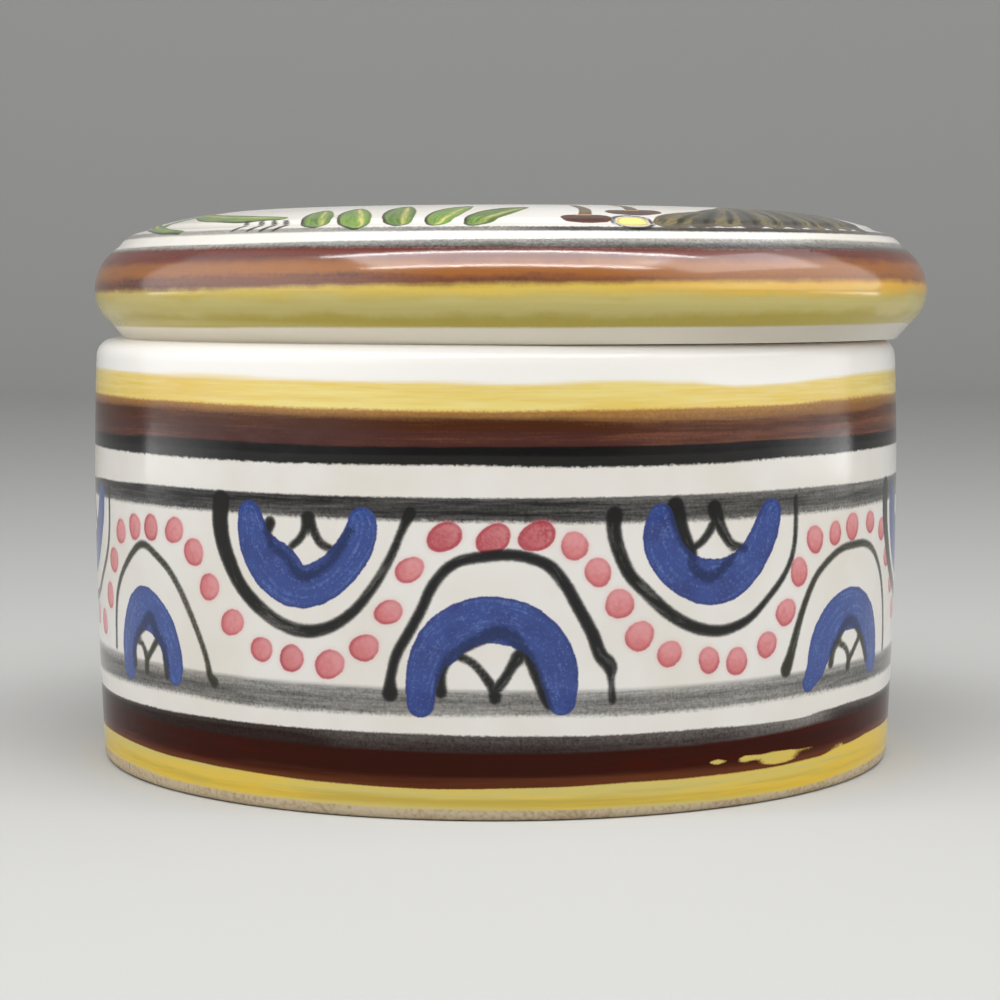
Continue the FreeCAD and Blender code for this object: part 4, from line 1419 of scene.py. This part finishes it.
def bare_clay(colours):
    """Unglazed clay of the foot and of the lid's seat."""
    work, grains = new_finish("bare_clay")
    clay = work.blend((grains.speck + grains.cloud).step(-0.5, 0.8), colours.clay, colours.dark_clay)
    clay = work.blend(grains.grain.step(0.3, 0.9) * 0.35, clay, colours.white)
    rough = grains.speck * 0.1 + CLAY_ROUGHNESS
    return work.finish(clay, rough, grains.grain + grains.speck, CLAY_RELIEF)


def edge_bands(work, colours, grains, run, warm, below):
    """Rings of the lid: grey lines beside the white ring, brick, ochre, brown and yellow."""
    fuzz = grains.stir(run, grain=0.12, speck=0.08)
    faint = grains.stir(run, streak=0.15, grain=0.06)
    late = work.stored("outer_from")
    outer = (faint - late).step(*OUTER_GREY_FROM) * (faint + late).step(*OUTER_GREY_TO)
    load = between(fuzz, INNER_GREY) * work.stored("inner_load")
    load = load + outer * ((faint - late).step(*OUTER_GREY_DENSER) * 0.35 + 0.55)
    shown = granular(work, below, colours.charcoal, load, grains)
    soft = grains.stir(run, streak=0.6, waver=0.35, speck=0.12, grain=0.08)
    mottle = grains.streak * 0.8 + grains.speck * 0.3 + grains.grain * 0.2
    red = work.blend(mottle.step(-0.3, 0.8), colours.brick, colours.red_brown)
    ochre = work.blend(mottle.step(-0.2, 0.8) * 0.6, colours.toffee, colours.fox_brown)
    red = work.blend(soft.step(*OCHRE_FROM) * (soft - warm * 1.4).step(*OCHRE_TO), red, ochre)
    fox = work.blend(mottle.step(-0.1, 0.6) * 0.7, colours.fox_brown, colours.red_brown)
    red = work.blend(soft.step(*FOX_FROM) * (0.85 - warm * 0.7), red, fox)
    shown = work.blend((fuzz + late).step(*BRICK_FROM) * soft.step(*BRICK_TO) * 0.97, shown, red)
    deeper = (grains.streak + grains.cloud).step(-0.6, 0.6)
    yellow = work.blend(deeper * 0.35 + 0.25, colours.golden, colours.straw)
    warmer = (warm + grains.streak * 0.8 + grains.cloud).step(0.1, 1.2)
    yellow = work.blend(warmer * 0.8, yellow, colours.amber)
    # Yellow turns olive towards the lid's lower edge: partly its own colour, partly painted shade where
    # the edge faces down.
    yellow = work.blend(soft.step(*OLIVE_AND_SHADE_FROM), yellow, colours.olive_yellow_and_shade)
    pale = between(grains.stir(soft, cloud=1.5), PALE_YELLOW) * (grains.streak * 0.4 + 0.8)
    yellow = work.blend(pale, yellow, colours.straw)
    past_gold = run - work.stored("gold_from")
    top = grains.stir(past_gold, streak=0.35, waver=0.25, grain=0.1).step(*YELLOW_FROM)
    return work.blend(top * faint.step(*YELLOW_TO), shown, yellow)


def garland_leaves(work, colours, grains, below):
    """Green leaves with a yellow light along one side and a dark line along the other."""
    side = work.stored("leaf_side")
    bristle = work.noise(work.trail("leaf"), (0.3, 3.2, 1.0), detail=3, contrast=1.3)
    edge = grains.stir(work.stored("leaf_edge"), grain=0.06, waver=0.12)
    darker = (bristle + work.stored("leaf_tone") * 0.5).step(-0.2, 0.8)
    green = work.blend(darker, colours.leaf, colours.moss)
    light = side.step(0.05, 0.3) * side.step(0.7, 0.4) * bristle.step(-0.4, 0.3) * edge.step(-0.3, -0.6)
    green = work.blend(light * 0.65, green, colours.lemon)
    outline = edge.step(-0.5, -0.2) * (side.step(0.3, -0.3) * 0.7 + 0.25)
    green = work.blend(outline, green, colours.olive)
    return work.blend(edge.step(0.08, -0.08) * 0.97, below, green)


def garland_blooms(work, colours, grains, below):
    """Buds, berries, petals and plumes, told apart by tone."""
    tone = work.stored("bloom_tone")
    bristle = work.noise(work.trail("bloom"), (0.3, 4.0, 1.0), detail=3, contrast=1.4)
    edge = grains.stir(work.stored("bloom_edge"), grain=0.06, waver=0.12)
    petals = tone.step(0.4, 0.41)
    tint = work.blend(tone.step(0.15, 0.2), colours.red_brown, colours.lemon)
    tint = work.blend(petals, tint, colours.rose)
    faded = work.blend(bristle.step(-0.7, 1.0) * 0.38, colours.dusk, colours.straw)
    tint = work.blend(tone.step(0.6, 0.61), tint, faded)
    tint = work.blend(tone.step(0.9, 0.91), tint, colours.dusk)
    deeper = work.blend(petals * tone.step(0.61, 0.6), colours.fox_brown, colours.crimson)
    tint = work.blend(bristle.step(0.0, 0.9) * 0.6, tint, deeper)
    tint = work.blend(edge.step(-0.5, -0.1) * 0.3, tint, deeper)
    return work.blend(edge.step(0.08, -0.08) * 0.96, below, tint)


def painted_lid_glaze(colours):
    """Finish of the lid's top and edge, with painted shade that darkens the white strip under the edge
    towards the right.
    """
    work, grains = new_finish("painted_lid_glaze")
    run = work.stored("edge_run")
    warm = work.stored("gold_warmth")
    under = run.step(*WARM_WHITE_FROM)
    shown = work.blend(under * 0.8, white_ground(work, colours, grains), colours.warm_white)
    # Painted shade: charcoal darkens the white strip under the lid's edge towards the right, where the
    # warmth is high.
    shown = work.blend(under * warm * warm * 0.25, shown, colours.charcoal)
    shown = edge_bands(work, colours, grains, run, warm, shown)
    shown = garland_blooms(work, colours, grains, shown)
    shown = garland_leaves(work, colours, grains, shown)
    shown, _ = black_strokes(work, colours, grains, shown)
    return glaze_surface(work, shown, grains, ior=LID_IOR)


# Pieces


def settings(context):
    """The add-on's settings of this scene."""
    return context.scene.pottery_box


FINISHES = {"painted_wall_glaze": painted_wall_glaze, "painted_lid_glaze": painted_lid_glaze,
            "plain_white_glaze": plain_glaze, "bare_clay": bare_clay}


def finishes(painted, colours):
    """A piece's painted finish, the plain glaze and the bare clay, each made once."""
    return [bpy.data.materials.get(name) or FINISHES[name](colours)
            for name in (painted, "plain_white_glaze", "bare_clay")]


class PotteryBoxSettings(bpy.types.PropertyGroup):
    """All settings of the painted box."""

    body: PointerProperty(type=BodySizes)
    lid: PointerProperty(type=LidSizes)
    grid: PointerProperty(type=MeshGrid)
    colours: PointerProperty(type=GlazeColours)
    studio: PointerProperty(type=StudioSizes)


class POTTERY_OT_body(bpy.types.Operator):
    """Turn the body, paint its wall and glaze it"""

    bl_idname = "pottery.body"
    bl_label = "Make the body"

    def execute(self, context):
        chosen = settings(context)
        section = body_section(chosen.body, chosen.grid)
        turning = Turning("painted_box_body", section, chosen.grid.body_columns, 0.0)
        paint_wall(turning)
        body_layout(turning)
        number = {"wall": 0, "bore": 1, "floor": 1, "under": 2}
        turning.dress(finishes("painted_wall_glaze", chosen.colours),
                      lambda row: number[turning.ring_stretch[row]])
        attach(turning.piece, "box_body")
        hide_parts("box_body")
        return {"FINISHED"}


class POTTERY_OT_lid(bpy.types.Operator):
    """Turn the lid, paint its edge and dome and glaze it"""

    bl_idname = "pottery.lid"
    bl_label = "Make the lid"

    def execute(self, context):
        chosen = settings(context)
        section = lid_section(chosen.lid, chosen.grid)
        turning = Turning("painted_lid", section, chosen.grid.lid_columns, LID_AXIS)
        paint_lid(turning)
        lid_layout(turning)
        slack = 0.1 * MM
        seat_from = (chosen.lid.flange_radius - slack, BODY_HIGH.z - slack)

        def choose(row):
            if turning.ring_stretch[row] != "under":
                return 0
            return 2 if (turning.rings[row] > seat_from).all() else 1

        turning.dress(finishes("painted_lid_glaze", chosen.colours), choose)
        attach(turning.piece, "lid")
        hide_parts("lid")
        return {"FINISHED"}


# The stage, in metres and degrees. Overhead lamps: name, place, the point each looks at, and size.

AIM = (0.0, 0.0, 0.04)
LID_AIM = (0.0, -0.05, 0.06)
OVERHEAD_LAMPS = [
    ("top_lamp", (0.0, -0.24, 0.52), AIM, (0.62, 0.34)),
    ("far_tube", (0.0, -0.105, 0.56), LID_AIM, (0.7, 0.02)),
    ("near_tube", (0.0, -0.375, 0.46), LID_AIM, (0.7, 0.016)),
    ("right_sheen", (0.46, -0.12, 0.5), AIM, (0.5, 0.28)),
]
# Side lamps: name, side, the floor place of the far edge, and how far each is turned.
SIDE_LAMPS = [("left_lamp", -1, (-0.5, 0.174), -24), ("right_lamp", 1, (0.5, 0.204), -27)]
SIDE_PANEL = (0.42, 0.026)
SIDE_SPREAD = 78
SKY_SIDES = ((-0.95, -0.12, 0.16), (1.02, 0.06, 0.2))
SKY_FADE = (0.4, 1.0)


def soft_lamp(name, place, aim, size, power, spread=180):
    """A rectangular soft lamp that looks at a point and isn't seen by the camera."""
    lamp = bpy.data.lights.new(name, "AREA")
    lamp.shape = "RECTANGLE"
    lamp.size, lamp.size_y = size
    lamp.energy = power
    lamp.spread = math.radians(spread)
    holder = bpy.data.objects.new(name, lamp)
    bpy.context.scene.collection.objects.link(holder)
    holder.location = place
    towards = [a - p for a, p in zip(aim, place)]
    turn = math.atan2(-towards[0], towards[1])
    lift = math.atan2(towards[2], math.hypot(towards[0], towards[1]))
    holder.rotation_euler = Euler((math.pi / 2 + lift, 0, turn), "XYZ")
    holder.visible_camera = False
    return holder


def side_panel(name, side, back_edge, turn, power):
    """A low soft panel standing on the floor at one side. Its light fades away from its axis."""
    width, tall = SIDE_PANEL
    towards = (-side * math.cos(math.radians(turn)), math.sin(math.radians(turn)))
    x = back_edge[0] + side * abs(towards[1]) * width / 2
    y = back_edge[1] - abs(towards[0]) * width / 2
    aim = (x + towards[0], y + towards[1], tall / 2)
    soft_lamp(name, (x, y, tall / 2), aim, SIDE_PANEL, power, SIDE_SPREAD)


def plain_floor(floor_colour, glow):
    """Pale matt floor that sweeps up behind into the backdrop."""
    front, back, side, sweep, rise, steps = -3.0, 1.1, 3.0, 0.5, 2.2, 24
    profile = [(front, 0.0), (back, 0.0)]
    for step in range(1, steps + 1):
        angle = math.pi / 2 * step / steps
        profile.append((back + sweep * math.sin(angle), sweep * (1 - math.cos(angle))))
    profile.append((back + sweep, rise))
    places = [(x, y, z) for y, z in profile for x in (-side, side)]
    faces = [(2 * i, 2 * i + 1, 2 * i + 3, 2 * i + 2) for i in range(len(profile) - 1)]
    mesh = bpy.data.meshes.new("floor_sweep")
    mesh.from_pydata(places, [], faces)
    mesh.shade_smooth()
    work = Workbench(bpy.data.materials.new("pale_floor"))
    work.join(work.shader.inputs["Base Color"], floor_colour)
    work.join(work.shader.inputs["Roughness"], 0.85)
    work.join(work.shader.inputs["Specular IOR Level"], 0.2)
    show_backdrop(work, floor_colour, glow, sweep)
    mesh.materials.append(work.holder)
    floor = bpy.data.objects.new("floor_sweep", mesh)
    bpy.context.scene.collection.objects.link(floor)


def show_backdrop(work, floor_colour, glow, full_height):
    """Keep the backdrop pale to the eye and in reflections, without lighting the object."""
    rays = work.add("ShaderNodeLightPath").outputs
    seen = work.most(work.most(rays["Is Camera Ray"], rays["Is Glossy Ray"]), rays["Is Transmission Ray"])
    split = work.add("ShaderNodeSeparateXYZ")
    work.join(split.inputs["Vector"], work.where["Object"])
    rise = work.most(Shade(work, split.outputs["Z"]) * (1 / full_height), 0.0)
    work.join(work.shader.inputs["Emission Strength"], seen * work.least(rise, 1.0) * glow)
    work.join(work.shader.inputs["Emission Color"], floor_colour)


def soft_sky(strength, side_glow):
    """Even surrounding light that grows softly towards both sides."""
    work = Workbench(bpy.data.worlds.new("soft_sky"))
    level = strength
    for towards in SKY_SIDES:
        level = work.facing(work.where["Generated"], towards).step(*SKY_FADE) * side_glow + level
    sky = work.tree.nodes["Background"].inputs
    work.join(sky["Color"], (1.0, 1.0, 1.0))
    work.join(sky["Strength"], level)
    return work.holder


class POTTERY_OT_stage(bpy.types.Operator):
    """Set the floor, the soft lamps and the camera"""

    bl_idname = "pottery.stage"
    bl_label = "Set the stage"

    def execute(self, context):
        scene = context.scene
        studio = settings(context).studio
        plain_floor(studio.floor, studio.backdrop_glow)
        lamps = {name: soft_lamp(name, place, aim, size, getattr(studio, name))
                 for name, place, aim, size in OVERHEAD_LAMPS}
        lamps["right_sheen"].visible_diffuse = False
        for name, side, back_edge, turn in SIDE_LAMPS:
            side_panel(name, side, back_edge, turn, getattr(studio, name))
        scene.world = soft_sky(studio.sky, studio.side_glow)
        scene.view_settings.view_transform = "Standard"
        camera = bpy.data.objects.new("camera", bpy.data.cameras.new("camera"))
        scene.collection.objects.link(camera)
        camera.data.lens = studio.lens
        camera.data.sensor_width = 36.0
        camera.data.shift_y = studio.image_drop
        camera.data.clip_start = 0.01
        camera.location = (studio.camera_side, -studio.camera_back, studio.camera_height)
        camera.rotation_euler = Euler((math.pi / 2 - studio.camera_tilt, 0, 0), "XYZ")
        scene.camera = camera
        return {"FINISHED"}


class POTTERY_PT_panel(bpy.types.Panel):
    """Lists the pieces and their settings"""

    bl_label = "Pottery box"
    bl_idname = "POTTERY_PT_panel"
    bl_space_type = "VIEW_3D"
    bl_region_type = "UI"
    bl_category = "Pottery box"

    def draw(self, context):
        layout = self.layout
        chosen = settings(context)
        for operator, group in ((POTTERY_OT_body, chosen.body), (POTTERY_OT_lid, chosen.lid),
                                (POTTERY_OT_stage, chosen.studio)):
            box = layout.box()
            box.operator(operator.bl_idname)
            for name in group.__annotations__:
                box.prop(group, name)
        for group in (chosen.grid, chosen.colours):
            box = layout.box()
            for name in group.__annotations__:
                box.prop(group, name)


CLASSES = (BodySizes, LidSizes, MeshGrid, GlazeColours, StudioSizes, PotteryBoxSettings, POTTERY_OT_body,
           POTTERY_OT_lid, POTTERY_OT_stage, POTTERY_PT_panel)


def register():
    for item in CLASSES:
        bpy.utils.register_class(item)
    bpy.types.Scene.pottery_box = PointerProperty(type=PotteryBoxSettings)


def unregister():
    del bpy.types.Scene.pottery_box
    for item in reversed(CLASSES):
        bpy.utils.unregister_class(item)


def main():
    """Make every piece and the stage."""
    register()
    bpy.ops.pottery.body()
    bpy.ops.pottery.lid()
    bpy.ops.pottery.stage()


if __name__ == "__main__":
    main()
